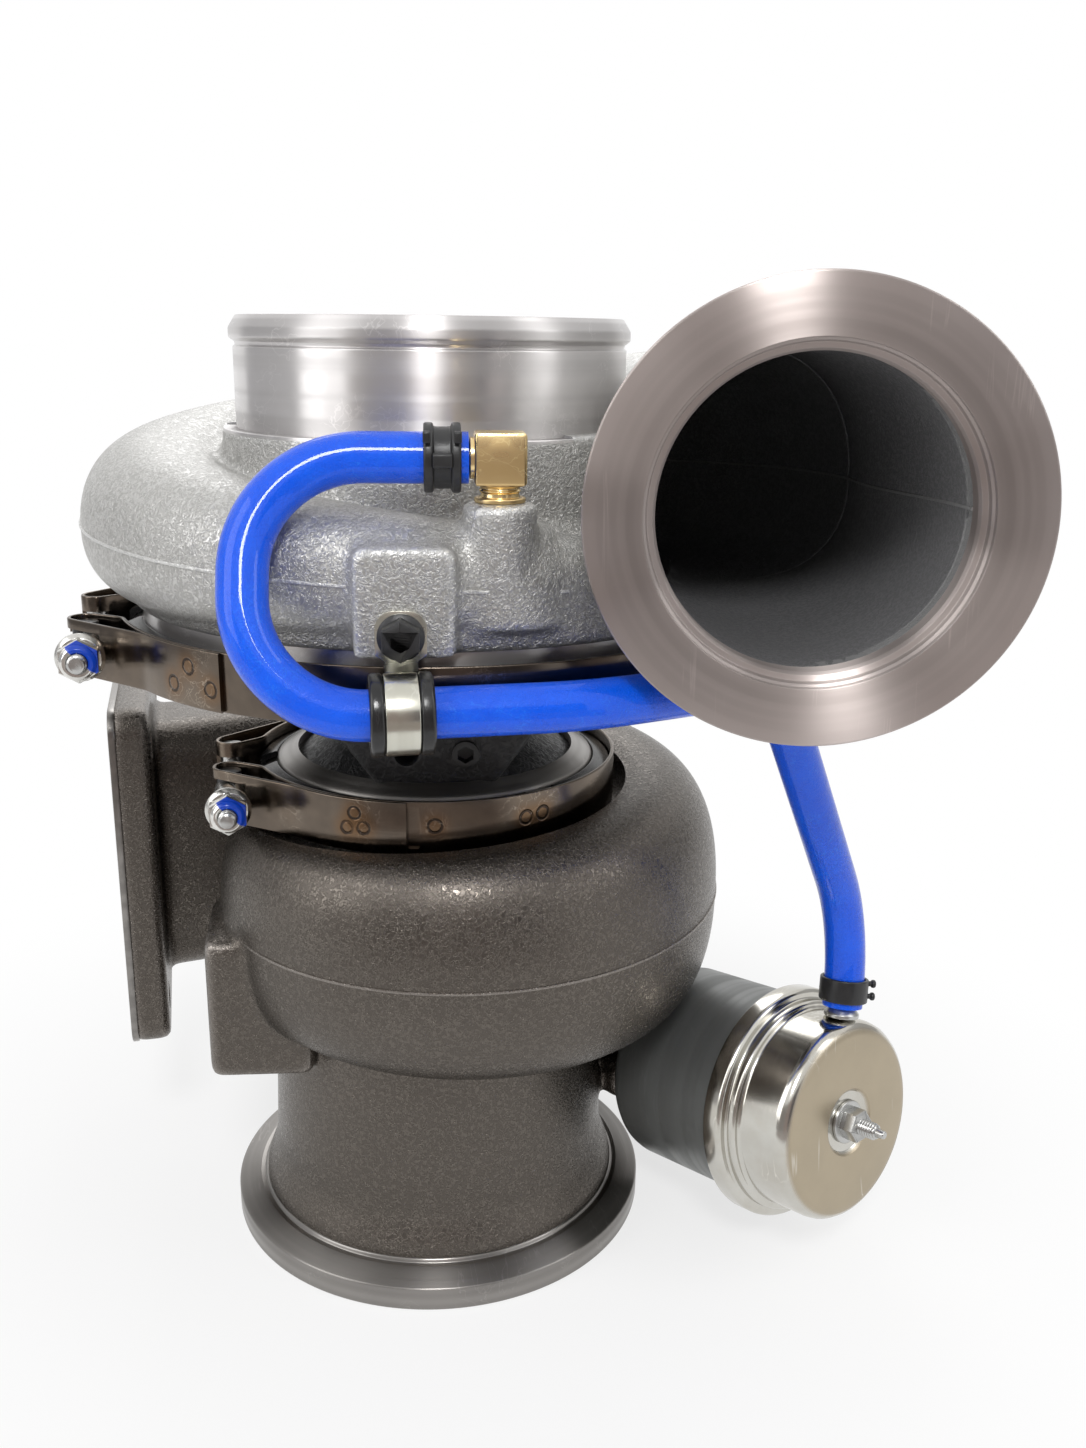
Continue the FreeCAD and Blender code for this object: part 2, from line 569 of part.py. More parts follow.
def turbine_housing():
    """Cast iron twin scroll housing with its inlet flange, outlet flange and valve chamber."""
    mid = TURBINE_MID_Z
    joint = TURBINE_JOINT_Z
    core = turned([
        (0, 0), (OUTLET_FLANGE_R, 0, 0.6), (OUTLET_FLANGE_R, 8.4, 0.5), (OUTLET_FLANGE_R - 8, 11.2, 0.4),
        (OUTLET_FLANGE_R - 10.2, 11.2), (OUTLET_FLANGE_R - 10.6, 14.5, 1), (OUTLET_NECK_R + 0.5, 25, 14),
        (OUTLET_NECK_R - 2, mid - 30, 2), (TURBINE_BORE_R + 6, mid - 20), (TURBINE_BORE_R + 6, joint - 14),
        (TURBINE_BORE_R + 4, joint - 4), (0, joint - 4),
    ])
    scroll, runner = turbine_scroll(0)
    flange = plate([
        (INLET_Y - INLET_HALF_Y, mid - INLET_HALF_Z, 9), (INLET_Y + INLET_HALF_Y, mid - INLET_HALF_Z, 9),
        (INLET_Y + INLET_HALF_Y, mid + INLET_HALF_Z, 9), (INLET_Y - INLET_HALF_Y, mid + INLET_HALF_Z, 9),
    ], INLET_FACE_X, INLET_FACE_X + INLET_FLANGE_T)
    flange = stand(flange, ORIGIN, V(1, 0, 0), V(0, 1, 0))
    block = plate([(-84, -37, 3), (-50, -43, 3), (-45, -5), (-80, 2, 3)], mid - 47, mid + 2)
    body = joined([core, scroll, runner, flange, block] + wastegate_castings())
    pocket = tube(CLAMP_POCKET_R, 0.0, CLAMP_POCKET_Z, joint + 20)
    top = turned([
        (TURBINE_BORE_R, mid + 12), (TURBINE_BORE_R + 5, mid + 12),
        (TURBINE_VEE_R - VEE_DEPTH, CLAMP_POCKET_Z - 1),
        (TURBINE_VEE_R - VEE_DEPTH, joint - VEE_RIM - VEE_DEPTH * VEE_SLOPE),
        (TURBINE_VEE_R, joint - VEE_RIM), (TURBINE_VEE_R, joint), (TURBINE_BORE_R, joint),
    ])
    body = joined([body.cut(pocket), top])
    return without(body, turbine_hollows())


def turbine_hollows():
    """Everything that is cut out of the turbine housing."""
    mid = TURBINE_MID_Z
    contour = meridian_edge(*TURBINE_CONTOUR)
    entry_r = TURBINE_WHEEL_R + 10
    points = [
        (TURBINE_CONTOUR[1][0], SHROUD_Z), (entry_r, SHROUD_Z), (entry_r, TURBINE_BACK_Z + 0.4),
        (TURBINE_BORE_R, TURBINE_BACK_Z + 0.4), (TURBINE_BORE_R, TURBINE_JOINT_Z + 1),
        (0, TURBINE_JOINT_Z + 1), (0, -1), (OUTLET_BORE_R, -1), (OUTLET_BORE_R, 30),
        (TURBINE_CONTOUR[0][0], EXDUCER_Z - 10), (TURBINE_CONTOUR[0][0], EXDUCER_Z),
    ]
    corners = [V(r, 0, z) for r, z in points]
    edges = [Part.LineSegment(a, b).toShape() for a, b in zip(corners, corners[1:])]
    bore = Part.Face(Part.Wire(edges + [contour])).revolve(ORIGIN, UP, 360)
    scroll, runner = turbine_scroll(TURBINE_WALL)
    wide = TURBINE_WHEEL_R + 91
    pocket_wall = tube(CLAMP_POCKET_R + TURBINE_WALL, 0.0, CLAMP_POCKET_Z - TURBINE_WALL, TURBINE_JOINT_Z + 20)
    disc = tube(wide, TURBINE_WHEEL_R + 12, mid - DIVIDER_T / 2, mid + DIVIDER_T / 2)
    slab = Part.makeBox(-INLET_FACE_X, wide, DIVIDER_T, V(INLET_FACE_X, 0, mid - DIVIDER_T / 2))
    divider = disc.fuse(slab.cut(tube(TURBINE_WHEEL_R + 12, 0.0, mid - 20, mid + 20))).fuse(pocket_wall)
    holes = []
    for y_side in (-1, 1):
        for z_side in (-1, 1):
            y = INLET_Y + y_side * INLET_BOLT_Y
            z = mid + z_side * INLET_BOLT_Z
            start = V(INLET_FACE_X - 1, y, z)
            holes.append(rod(5.25, start, start + V(INLET_FLANGE_T + 16, 0, 0)))
    return [scroll.cut(divider), runner.cut(divider), bore] + holes + wastegate_hollows()


# Backplate, and the oil pads of the bearing housing
ORING_Z = COMPRESSOR_JOINT_Z + 5.5
BACKPLATE_BOSS_R = 62.0
BACKPLATE_BOLT_PCR = 52.0
BACKPLATE_BOLT_ANGLES = [FRONT_ANGLE + 45 + 90 * i for i in range(4)]
FLANGE_LOW_Z = HOUSING_TOP_Z - 8.0
FEED_PAD_OUT = 46.0
DRAIN_PAD_OUT = 46.0
PORT_SIDE = 9.4
FEED_Z = TURBINE_JOINT_Z + 19.0
DRAIN_Z = TURBINE_JOINT_Z + 23.0
DRAIN_BOLT_SIDE = 19.0
PLUG_R = 4.4
RECESS_R = 28.2              # bore that holds the thrust bearing


def backplate():
    """Plate that closes the compressor housing behind the wheel."""
    joint = COMPRESSOR_JOINT_Z
    face = BACK_FACE_Z
    rim_z = joint - VEE_RIM - VEE_DEPTH * VEE_SLOPE
    spigot = SPIGOT_R - SLIP_GAP
    body = turned([
        (SEAL_R + 0.2, face), (spigot, face, 0.4), (spigot, ORING_Z + 1.7), (spigot - 2.7, ORING_Z + 1.7),
        (spigot - 2.7, ORING_Z - 1.7), (spigot, ORING_Z - 1.7), (spigot, joint), (COMPRESSOR_VEE_R, joint),
        (COMPRESSOR_VEE_R, joint - VEE_RIM), (COMPRESSOR_VEE_R - VEE_DEPTH, rim_z),
        (COMPRESSOR_VEE_R - VEE_DEPTH, HOUSING_TOP_Z + 1, 1), (spigot - 6, HOUSING_TOP_Z + 1, 2),
        (spigot - 10, joint + 1, 4), (BACKPLATE_BOSS_R + 4, joint + 1, 4), (BACKPLATE_BOSS_R, HOUSING_TOP_Z, 1),
        (SEAL_R + 0.2, HOUSING_TOP_Z),
    ])
    holes = []
    for angle in BACKPLATE_BOLT_ANGLES:
        foot = direction(angle) * BACKPLATE_BOLT_PCR + V(0, 0, HOUSING_TOP_Z - 1)
        holes.append(Part.makeCylinder(3.0 + SLIP_GAP, 12.0, foot))
    return body.cut(Part.makeCompound(holes))


def backplate_oring():
    """Sealing ring in the backplate's groove."""
    return Part.makeTorus(SPIGOT_R - 1.4, 1.2, V(0, 0, ORING_Z), UP)


def bearing_housing():
    """Black cast housing for the shaft's bearings, with the oil pads."""
    joint = TURBINE_JOINT_Z
    spigot = TURBINE_BORE_R - 0.2
    body = turned([
        (0, NOSE_Z), (30, NOSE_Z, 2), (36, joint - 9, 3), (44, joint - 5), (spigot, joint - 5),
        (spigot, joint), (TURBINE_VEE_R, joint), (TURBINE_VEE_R, joint + VEE_RIM),
        (TURBINE_VEE_R - VEE_DEPTH, joint + VEE_RIM + VEE_DEPTH * VEE_SLOPE),
        (TURBINE_VEE_R - VEE_DEPTH, joint + 7, 1.5), (38, joint + 14, 6), (33, joint + 19, 5),
        (33, FLANGE_LOW_Z - 9, 6), (44, FLANGE_LOW_Z, 3), (BACKPLATE_BOSS_R, FLANGE_LOW_Z, 1.5),
        (BACKPLATE_BOSS_R, HOUSING_TOP_Z), (0, HOUSING_TOP_Z),
    ])
    pad_low = joint + 6.5
    feed = plate([
        (-17.5, pad_low, 2), (17.5, pad_low, 2), (31, pad_low + 18, 3), (31, FLANGE_LOW_Z + 1),
        (-31, FLANGE_LOW_Z + 1), (-31, pad_low + 18, 3),
    ], 18, FEED_PAD_OUT)
    drain = plate([
        (-26, pad_low + 4, 6), (26, pad_low + 4, 6), (26, FLANGE_LOW_Z + 1), (-26, FLANGE_LOW_Z + 1),
    ], 18, DRAIN_PAD_OUT)
    body = joined([body, stand(feed, ORIGIN, FRONT, SIDE), stand(drain, ORIGIN, -FRONT, -SIDE)])
    return body.cut(Part.makeCompound(bearing_hollows()))


def bearing_hollows():
    """Bearing bore, oil space, thrust recess, ports and bolt holes."""
    bore = turned([
        (0, NOSE_Z - 1), (SEAL_R + 0.2, NOSE_Z - 1), (SEAL_R + 0.2, BEARING_LOW_Z - 0.3),
        (BEARING_BORE_R, BEARING_LOW_Z - 0.3), (BEARING_BORE_R, THRUST_Z - 3.2),
        (COLLAR_R + 1, THRUST_Z - 3.2), (COLLAR_R + 1, THRUST_Z), (RECESS_R, THRUST_Z),
        (RECESS_R, HOUSING_TOP_Z + 1), (0, HOUSING_TOP_Z + 1),
    ])
    oil = turned([
        (BEARING_BORE_R + 4, BEARING_LOW_Z, 1), (26, BEARING_LOW_Z, 3), (26, THRUST_Z - 6, 3),
        (BEARING_BORE_R + 4, THRUST_Z - 6, 1),
    ])
    feed = rod(4.0, front_point(-PORT_SIDE, FEED_PAD_OUT + 1, FEED_Z), front_point(-PORT_SIDE, 22, FEED_Z))
    start = front_point(PORT_SIDE, FEED_PAD_OUT + 1, FEED_Z)
    plug = rod(PLUG_R + SLIP_GAP, start, front_point(PORT_SIDE, FEED_PAD_OUT - 9, FEED_Z))
    drain = rod(9.0, front_point(0, -DRAIN_PAD_OUT - 1, DRAIN_Z), front_point(0, -22, DRAIN_Z))
    holes = []
    for side in (-1, 1):
        start = front_point(side * DRAIN_BOLT_SIDE, -DRAIN_PAD_OUT - 1, DRAIN_Z)
        holes.append(rod(3.4, start, start + FRONT * 15))
    for angle in BACKPLATE_BOLT_ANGLES:
        foot = direction(angle) * BACKPLATE_BOLT_PCR + V(0, 0, FLANGE_LOW_Z - 1)
        holes.append(Part.makeCylinder(3.0 + SLIP_GAP, 10.0, foot))
        holes.append(Part.makeCylinder(6.5, 7.0, foot - V(0, 0, 6)))
    return [bore, oil, feed, plug, drain] + holes


def feed_pad_plug():
    """Socket plug in the second port of the oil feed pad."""
    body = tube(PLUG_R, 0.0, -8.0, 1.5).cut(hexagon(5.0, -3.0, 2.0))
    return stand(body, front_point(PORT_SIDE, FEED_PAD_OUT, FEED_Z), FRONT, UP)


def backplate_bolt(angle):
    """Bolt that holds the bearing housing's flange to the backplate."""
    bolt = joined([hexagon(10.0, -4.0, 0.0), Part.makeCylinder(3.0, 17.0)])
    foot = direction(angle) * BACKPLATE_BOLT_PCR + V(0, 0, FLANGE_LOW_Z)
    return stand(bolt, foot, UP)


def journal_bearing(z_low):
    """Floating bronze bushing."""
    return tube(BEARING_BORE_R - RUN_GAP, JOURNAL_R + RUN_GAP, z_low, z_low + BEARING_LENGTH)


def bearing_spacer():
    """Sleeve that keeps the two bushings apart."""
    low = BEARING_LOW_Z + BEARING_LENGTH + 0.3
    return tube(BEARING_BORE_R - SLIP_GAP, JOURNAL_R + 1.0, low, BEARING_HIGH_Z - 0.3)


def thrust_bearing():
    """Bronze plate that the shaft's two collars run against."""
    low = THRUST_Z
    body = tube(RECESS_R - SLIP_GAP, JOURNAL_R + 2.1, low, low + THRUST_T)
    grooves = [Part.makeBox(6, 1.2, 1.0, V(9.5, -0.6, low + THRUST_T - 0.6)) for _ in range(6)]
    for i, groove in enumerate(grooves):
        groove.rotate(ORIGIN, UP, 60 * i)
    return body.cut(Part.makeCompound(grooves))


def thrust_collar():
    """Lower collar and neck that turn with the shaft."""
    bore = STUB_R + SLIP_GAP
    low = THRUST_Z - 3.0
    return turned([
        (bore, low), (COLLAR_R, low), (COLLAR_R, THRUST_Z - 0.06), (JOURNAL_R + 2, THRUST_Z - 0.06),
        (JOURNAL_R + 2, THRUST_Z + THRUST_T + 0.06), (bore, THRUST_Z + THRUST_T + 0.06),
    ])


def oil_slinger():
    """Upper collar and sleeve that throws oil off before the compressor seal."""
    bore = STUB_R + SLIP_GAP
    low = THRUST_Z + THRUST_T + 0.06
    ring_z = COMPRESSOR_JOINT_Z - 2.0
    return turned([
        (bore, low), (COLLAR_R, low), (COLLAR_R, low + 2.6, 0.5), (SEAL_R, low + 3.2),
        (SEAL_R, ring_z - 0.1), (SEAL_R - 1.9, ring_z - 0.1), (SEAL_R - 1.9, ring_z + RING_T + 0.1),
        (SEAL_R, ring_z + RING_T + 0.1), (SEAL_R, WHEEL_BACK_Z), (bore, WHEEL_BACK_Z),
    ])


def oil_deflector():
    """Pressed ring over the thrust bearing."""
    low = THRUST_Z + THRUST_T
    return tube(RECESS_R - SLIP_GAP, COLLAR_R + 1.5, low, HOUSING_TOP_Z)


def piston_ring(z_low):
    """Split sealing ring that springs into its housing."""
    ring = tube(SEAL_R + 0.17, SEAL_R - 1.7, z_low, z_low + RING_T)
    return ring.cut(Part.makeBox(6, 1.0, RING_T + 2, V(SEAL_R - 4, -0.5, z_low - 1)))


def heat_shield():
    """Thin pressed dish between the turbine wheel and the bearing housing."""
    low = TURBINE_BACK_Z + 11.6
    rim = TURBINE_JOINT_Z - 5.0
    return turned([
        (13, low), (40, low, 4), (45, rim - 1.2, 2), (TURBINE_BORE_R - 0.3, rim - 1.2),
        (TURBINE_BORE_R - 0.3, rim), (44, rim, 2), (39, low + 1.2, 3), (13, low + 1.2),
    ])


def compressor_nut():
    """Nut on the nose of the compressor wheel."""
    low = WHEEL_NOSE_Z
    body = joined([hexagon(19.0, low + 2, low + 9), tube(11.5, 0, low, low + 2.4)])
    return body.cut(tube(STUB_R + SLIP_GAP, 0, low - 1, low + 10))


def vee_retainer(vee_r, joint_z, start, span):
    """One pressed V segment that draws a pair of flanges together."""
    inner = vee_r - VEE_DEPTH + 0.3
    wall = vee_r + SEAT_GAP
    outer = wall + RETAINER_T
    slant = math.cos(math.radians(20))

    def half(radius, extra):
        return VEE_RIM + (vee_r - radius) * VEE_SLOPE + (SEAT_GAP + extra) / slant

    corners = [
        (inner, half(inner, RETAINER_T)), (outer, half(outer, RETAINER_T)),
        (outer, -half(outer, RETAINER_T)), (inner, -half(inner, RETAINER_T)),
        (inner, -half(inner, 0)), (wall, -half(wall, 0)), (wall, half(wall, 0)), (inner, half(inner, 0)),
    ]
    points = [(V(r, 0, joint_z + z), 0) for r, z in corners]
    segment = Part.Face(corner_wire(points, True)).revolve(ORIGIN, UP, span)
    segment.rotate(ORIGIN, UP, start)
    return segment


# Clamp hardware
TRUNNION_R = 4.1
TBOLT_R = 3.0
SLEEVE_R = 5.0
SLEEVE_REACH = 18.5
WINDOW_HALF = 5.6            # half the height of the slot that clears the sleeve
SLOT_HALF = 3.5              # half the height of the slots that clear the bolt


def tangent_spot(foot, centre, radius, turn):
    """Where a straight line from a foot touches a circle, on the side given by turn."""
    way = centre - foot
    lean = turn * math.degrees(math.asin(radius / way.Length))
    length = math.sqrt(way.Length ** 2 - radius ** 2)
    return foot + direction(math.degrees(math.atan2(way.y, way.x)) + lean) * length


def strap(start, end, thickness, half_width):
    """A flat strip of band that stands on edge between two points."""
    along = (end - start).normalize()
    side = along.cross(UP) * (thickness / 2)
    ring = [start + side, end + side, end - side, start - side]
    face = Part.Face(Part.makePolygon(ring + ring[:1]))
    face.translate(V(0, 0, -half_width))
    return face.extrude(V(0, 0, 2 * half_width))


def band_arc(radius, start, end):
    """A stretch of band about the shaft between two angles."""
    ring = tube(radius + BAND_T, radius, -BAND_HALF_W, BAND_HALF_W)
    size = 2.5 * radius
    corners = [V(0, 0, -20)]
    for i in range(9):
        corners.append(direction(start + (end - start) * i / 8) * size + V(0, 0, -20))
    sector = Part.Face(Part.makePolygon(corners + corners[:1])).extrude(V(0, 0, 40))
    return ring.common(sector)


def clamp_band(size):
    """Band with its two folded ends, built round Z with the T-bolt on +X."""
    radius = size["vee_r"] + SEAT_GAP * 2 + RETAINER_T
    line = size["line"]
    reach = size["reach"]
    mean = radius + BAND_T / 2
    loop_r = TRUNNION_R + SEAT_GAP
    loop_mean = loop_r + BAND_T / 2
    outer = radius + BAND_T
    leave = size["leave"]
    pieces = [band_arc(radius, size["gap"], 360 - size["gap"])]
    for side in (-1, 1):
        loop = V(line, side * reach, 0)
        ring = tube(loop_r + BAND_T, loop_r, -BAND_HALF_W, BAND_HALF_W)
        ring.translate(loop)
        inner_foot = direction(side * size["gap"]) * mean
        outer_foot = direction(side * leave) * (outer + BAND_T / 2)
        inner_end = tangent_spot(inner_foot, loop, loop_mean, -side)
        outer_end = tangent_spot(outer_foot, loop, loop_mean, side)
        inner_strap = strap(inner_foot, inner_end, BAND_T, BAND_HALF_W)
        outer_strap = strap(outer_foot, outer_end, BAND_T, BAND_HALF_W)
        end = size["near_end"] if side > 0 else size["far_end"]
        low, high = sorted((side * leave, side * end))
        lap = band_arc(outer, low, high)
        pieces += [ring, inner_strap, outer_strap, lap]
    band = joined(pieces)
    window = Part.makeBox(24, reach + 26, 2 * WINDOW_HALF, V(line - 5.4, reach - 2, -WINDOW_HALF))
    near_slot = Part.makeBox(12, 20, 2 * SLOT_HALF, V(line - 6, reach - 18, -SLOT_HALF))
    far_slot = Part.makeBox(12, 18, 2 * SLOT_HALF, V(line - 6, -reach, -SLOT_HALF))
    clear = tube(outer + BAND_T + 1.0, 0, -20, 20)
    return band.cut(Part.makeCompound([window.cut(clear), near_slot, far_slot]))


def clamp_trunnion(size):
    """Barrel in the near loop, with the sleeve that the nut bears on."""
    barrel = Part.makeCylinder(TRUNNION_R, 2 * BAND_HALF_W - 3, V(0, 0, 1.5 - BAND_HALF_W))
    along = V(0, 1, 0)
    sleeve = rod(SLEEVE_R, V(0, 0, 0), along * SLEEVE_REACH)
    hole = rod(TBOLT_R + SLIP_GAP, along * -10, along * (SLEEVE_REACH + 1))
    shape = joined([barrel, sleeve]).cut(hole)
    shape.translate(V(size["line"], size["reach"], 0))
    return shape


def clamp_tbolt(size):
    """T-headed bolt whose barrel sits in the far loop."""
    foot = V(size["line"], -size["reach"], 0)
    head = Part.makeCylinder(TRUNNION_R, 2 * BAND_HALF_W - 3, foot + V(0, 0, 1.5 - BAND_HALF_W))
    shank = rod(TBOLT_R, foot, foot + V(0, 2 * size["reach"] + SLEEVE_REACH + 12, 0))
    return joined([head, shank])


def clamp_nut(size):
    """Flanged nut on the T-bolt."""
    body = joined([
        turned([(0, 0), (7.4, 0), (7.4, 1.6, 0.6), (6.0, 2.6), (0, 2.6)]),
        hexagon(11.5, 1.5, 9.0).common(turned([(0, 1), (6.9, 1), (6.9, 8, 0), (5.6, 9.0), (0, 9.0)])),
    ])
    body = body.cut(tube(TBOLT_R + SLIP_GAP, 0, -1, 10))
    foot = V(size["line"], size["reach"] + SLEEVE_REACH, 0)
    return stand(body, foot, V(0, 1, 0))


COMPRESSOR_CLAMP = {
    "vee_r": COMPRESSOR_VEE_R, "joint_z": COMPRESSOR_JOINT_Z, "turn": 177.5, "line": COMPRESSOR_VEE_R + 12.5,
    "reach": 19.0, "gap": 12.0, "leave": 27.0, "near_end": 47.5, "far_end": 47.5,
}
TURBINE_CLAMP = {
    "vee_r": TURBINE_VEE_R, "joint_z": TURBINE_JOINT_Z, "turn": 176.5, "line": TURBINE_VEE_R + 12.0,
    "reach": 15.5, "gap": 16.0, "leave": 38.0, "near_end": 75.0, "far_end": 60.0,
}


def in_clamp(shape, size):
    """Turns a clamp piece to its place and lifts it to its joint."""
    placed = shape.copy()
    placed.Placement = FreeCAD.Placement(V(0, 0, size["joint_z"]), FreeCAD.Rotation(UP, size["turn"])).multiply(
        placed.Placement)
    return placed


def clamp_parts(prefix, size):
    """All the pieces of one V-band clamp."""
    parts = {
        prefix + "_clamp_band": in_clamp(clamp_band(size), size),
        prefix + "_clamp_trunnion": in_clamp(clamp_trunnion(size), size),
        prefix + "_clamp_tbolt": in_clamp(clamp_tbolt(size), size),
        prefix + "_clamp_nut": in_clamp(clamp_nut(size), size),
    }
    for i in range(3):
        start = size["turn"] + 6 + 120 * i
        parts[prefix + "_clamp_retainer_" + str(i + 1)] = vee_retainer(
            size["vee_r"], size["joint_z"], start, 108)
    return parts


def boost_elbow():
    """Brass square elbow with a threaded foot and a hose barb."""
    h = ELBOW_HALF
    block = Part.makeBox(2 * h, 2 * h - 1, 2 * h, V(-h, -h + 0.5, -h))
    block = block.makeChamfer(0.8, block.Edges)
    block.rotate(ORIGIN, UP, FRONT_ANGLE + 90)
    block.translate(ELBOW)
    collar = Part.makeCylinder(7.0, 2.0, ELBOW_SEAT)
    neck = rod(5.4, ELBOW_SEAT, ELBOW)
    thread = rod(ELBOW_THREAD_R, ELBOW_SEAT - UP * 7.5, ELBOW_SEAT)
    barb = rod(HOSE_BORE_R - SEAT_GAP, ELBOW, ELBOW - SIDE * 23)
    return joined([block, collar, neck, thread, barb])


def nipple_base():
    """Foot of the hose nipple on the cap's side, and its direction."""
    a = math.radians(78.0)
    side = UP.cross(ACTUATOR_AXIS).normalize()
    top = ACTUATOR_AXIS.cross(side)
    out = side * math.cos(a) + top * math.sin(a)
    return ACTUATOR_RIM + ACTUATOR_AXIS * 18.5 + out * (CAP_R - 0.8), out


def hose_corners():
    """The hose's route: start, corners with their radii, and end at the nipple."""
    foot, out = nipple_base()
    above = foot + out * 34
    return [
        (HOSE_START, 0), (HOSE_TOP_LEFT, 31.5), (HOSE_LOW_LEFT, 31.5), (HOSE_PASS, 70.0),
        (HOSE_BEND, 44.0), (above, 60.0), (foot + out * 5.0, 0),
    ]


def boost_hose():
    """Blue hose from the compressor's pressure tap to the actuator's cap."""
    route = corner_wire(hose_corners())
    way = HOSE_TOP_LEFT - HOSE_START
    outer = Part.Wire([Part.Circle(HOSE_START, way, HOSE_R).toShape()])
    inner = Part.Wire([Part.Circle(HOSE_START, way, HOSE_BORE_R).toShape()])
    return route.makePipeShell([outer], True, False).cut(route.makePipeShell([inner], True, False))


def elbow_hose_clamp():
    """Black spring clamp with two ribs at the elbow end."""
    ring = turned([
        (HOSE_R + SEAT_GAP, 0), (HOSE_R + 2.4, 0, 0.4), (HOSE_R + 2.4, 2.4, 0.4), (HOSE_R + 1.3, 2.4),
        (HOSE_R + 1.3, 7.6), (HOSE_R + 2.4, 7.6, 0.4), (HOSE_R + 2.4, 10, 0.4), (HOSE_R + SEAT_GAP, 10),
    ])
    ear = Part.makeBox(3.0, 4.0, 5.2, V(HOSE_R + 0.8, -2.0, 2.4))
    return stand(joined([ring, ear]), HOSE_START - SIDE * 2.0, -SIDE, FRONT)


def actuator_hose_clamp():
    """Black band with two small ears at the nipple end."""
    foot, out = nipple_base()
    ring = tube(HOSE_R + 1.4, HOSE_R + SEAT_GAP, 0, 8.0)
    ears = [rod(1.3, V(HOSE_R + 0.8, 0, z), V(HOSE_R + 4.2, 0, z)) for z in (1.8, 6.2)]
    return stand(joined([ring] + ears), foot + out * 7.0, out, SIDE)


def clip_cushion():
    """Rubber cushion of the hose clip."""
    return stand(turned([
        (CUSHION_BORE_R, -CUSHION_HALF), (CUSHION_LIP_R, -CUSHION_HALF, 1), (CUSHION_LIP_R, -STRAP_HALF - 0.2, 0.5),
        (CUSHION_R, -STRAP_HALF - 0.2), (CUSHION_R, STRAP_HALF + 0.2), (CUSHION_LIP_R, STRAP_HALF + 0.2, 0.5),
        (CUSHION_LIP_R, CUSHION_HALF, 1), (CUSHION_BORE_R, CUSHION_HALF),
    ]), CLIP, CLIP_AXIS, FRONT)


def clip_strap():
    """Plated steel strap of the hose clip, with its tab on the pad."""
    ring = stand(tube(STRAP_R + STRAP_T, STRAP_R, -STRAP_HALF, STRAP_HALF), CLIP, CLIP_AXIS, FRONT)
    low = CLIP.z
    side = HOSE_CLAMP_SIDE
    tab = plate([
        (side - STRAP_HALF, low), (side + STRAP_HALF, low), (side + STRAP_HALF, low + 11.8),
        (side + 7, low + 13.5), (side + 7, CLIP_BOLT_Z + 7, 5), (side - 7, CLIP_BOLT_Z + 7, 5),
        (side - 7, low + 13.5), (side - STRAP_HALF, low + 11.8),
    ], PAD_OUT, PAD_OUT + STRAP_T)
    tab = stand(tab, ORIGIN, FRONT, SIDE)
    room = [rod(STRAP_R, CLIP - CLIP_AXIS * 12, CLIP + CLIP_AXIS * 12)]
    for way in (CLIP_AXIS, -CLIP_AXIS):
        room.append(rod(CUSHION_LIP_R + SEAT_GAP, CLIP + way * STRAP_HALF, CLIP + way * 12))
    room.append(rod(CLIP_BOLT_R + SLIP_GAP, CLIP_BOLT - FRONT, CLIP_BOLT + FRONT * 3))
    return without(joined([ring, tab]), room)


def clip_bolt():
    """Black flanged bolt that holds the hose clip."""
    low = STRAP_T
    head = joined([
        turned([(0, low), (6.4, low), (6.4, low + 1.2, 0.5), (0, low + 1.8)]),
        hexagon(10.0, low, low + 7).cut(hexagon(5.0, low + 3.5, low + 8)),
        Part.makeCylinder(CLIP_BOLT_R, 12 + low + 1, V(0, 0, -12)),
    ])
    return stand(head, CLIP_BOLT, FRONT, UP)


def actuator_can():
    """Deep drawn can that houses the spring."""
    base = CAN_BASE
    wall = CAN_R - SHEET_T
    body = turned([
        (BUSH_R + 0.4, base), (CAN_R, base, 5), (CAN_R, -3, 1), (CAN_R + 2.8, -3), (CAN_R + 2.8, -1.5),
        (wall, -1.5, 1.5), (wall, base + SHEET_T, 3.5), (BUSH_R + 0.4, base + SHEET_T),
    ])
    holes = [Part.makeCylinder(3.3, 6, V(side * EAR_REACH, 0, base - 1)) for side in (-1, 1)]
    return on_actuator(body.cut(Part.makeCompound(holes)))


def actuator_cap():
    """Plated cap with its rolled rim and dished middle."""
    wall = CAP_R - SHEET_T
    top = CAP_LENGTH
    rim = CAN_R + 2.8 + SEAT_GAP
    body = turned([
        (STEM_R, top - 1.4), (10.5, top - 1.4), (11.8, top, 0.6), (CAP_R, top, 7), (CAP_R, 6.2, 1.2),
        (CAP_R + 2.6, 6.2, 1.2), (CAP_R + 2.6, 2.6, 0.8), (rim + 1.3, 2.6, 1.6), (rim + 1.3, -4.8, 0.8),
        (CAN_R + 1.0, -4.8, 0.5), (CAN_R + 1.0, -3.1), (rim, -3.1), (rim, 1.0), (wall, 1.0, 1.0),
        (wall, top - SHEET_T, 5.5), (12.4, top - SHEET_T, 1), (11, top - 1.4 - SHEET_T), (STEM_R, top - 1.4 - SHEET_T),
    ])
    foot, out = nipple_base()
    return on_actuator(body).cut(rod(2.6, foot - out * 4, foot + out * 4))


def diaphragm():
    """Rolling rubber diaphragm between the can's rim and the piston."""
    wall = CAP_R - SHEET_T - 1.0
    return on_actuator(turned([
        (CAN_R + 2.6, -1.4), (CAN_R + 2.6, 0.9), (wall, 0.9), (wall, 15, 2.8), (PISTON_R - 1, 15, 2.8),
        (PISTON_R - 1, PISTON_TOP + 1.1), (8, PISTON_TOP + 1.1), (8, PISTON_TOP),
        (PISTON_R + 0.4, PISTON_TOP), (PISTON_R + 0.4, 13.6, 1.2), (wall - 1.4, 13.6, 1.2), (wall - 1.4, -1.4),
    ]))


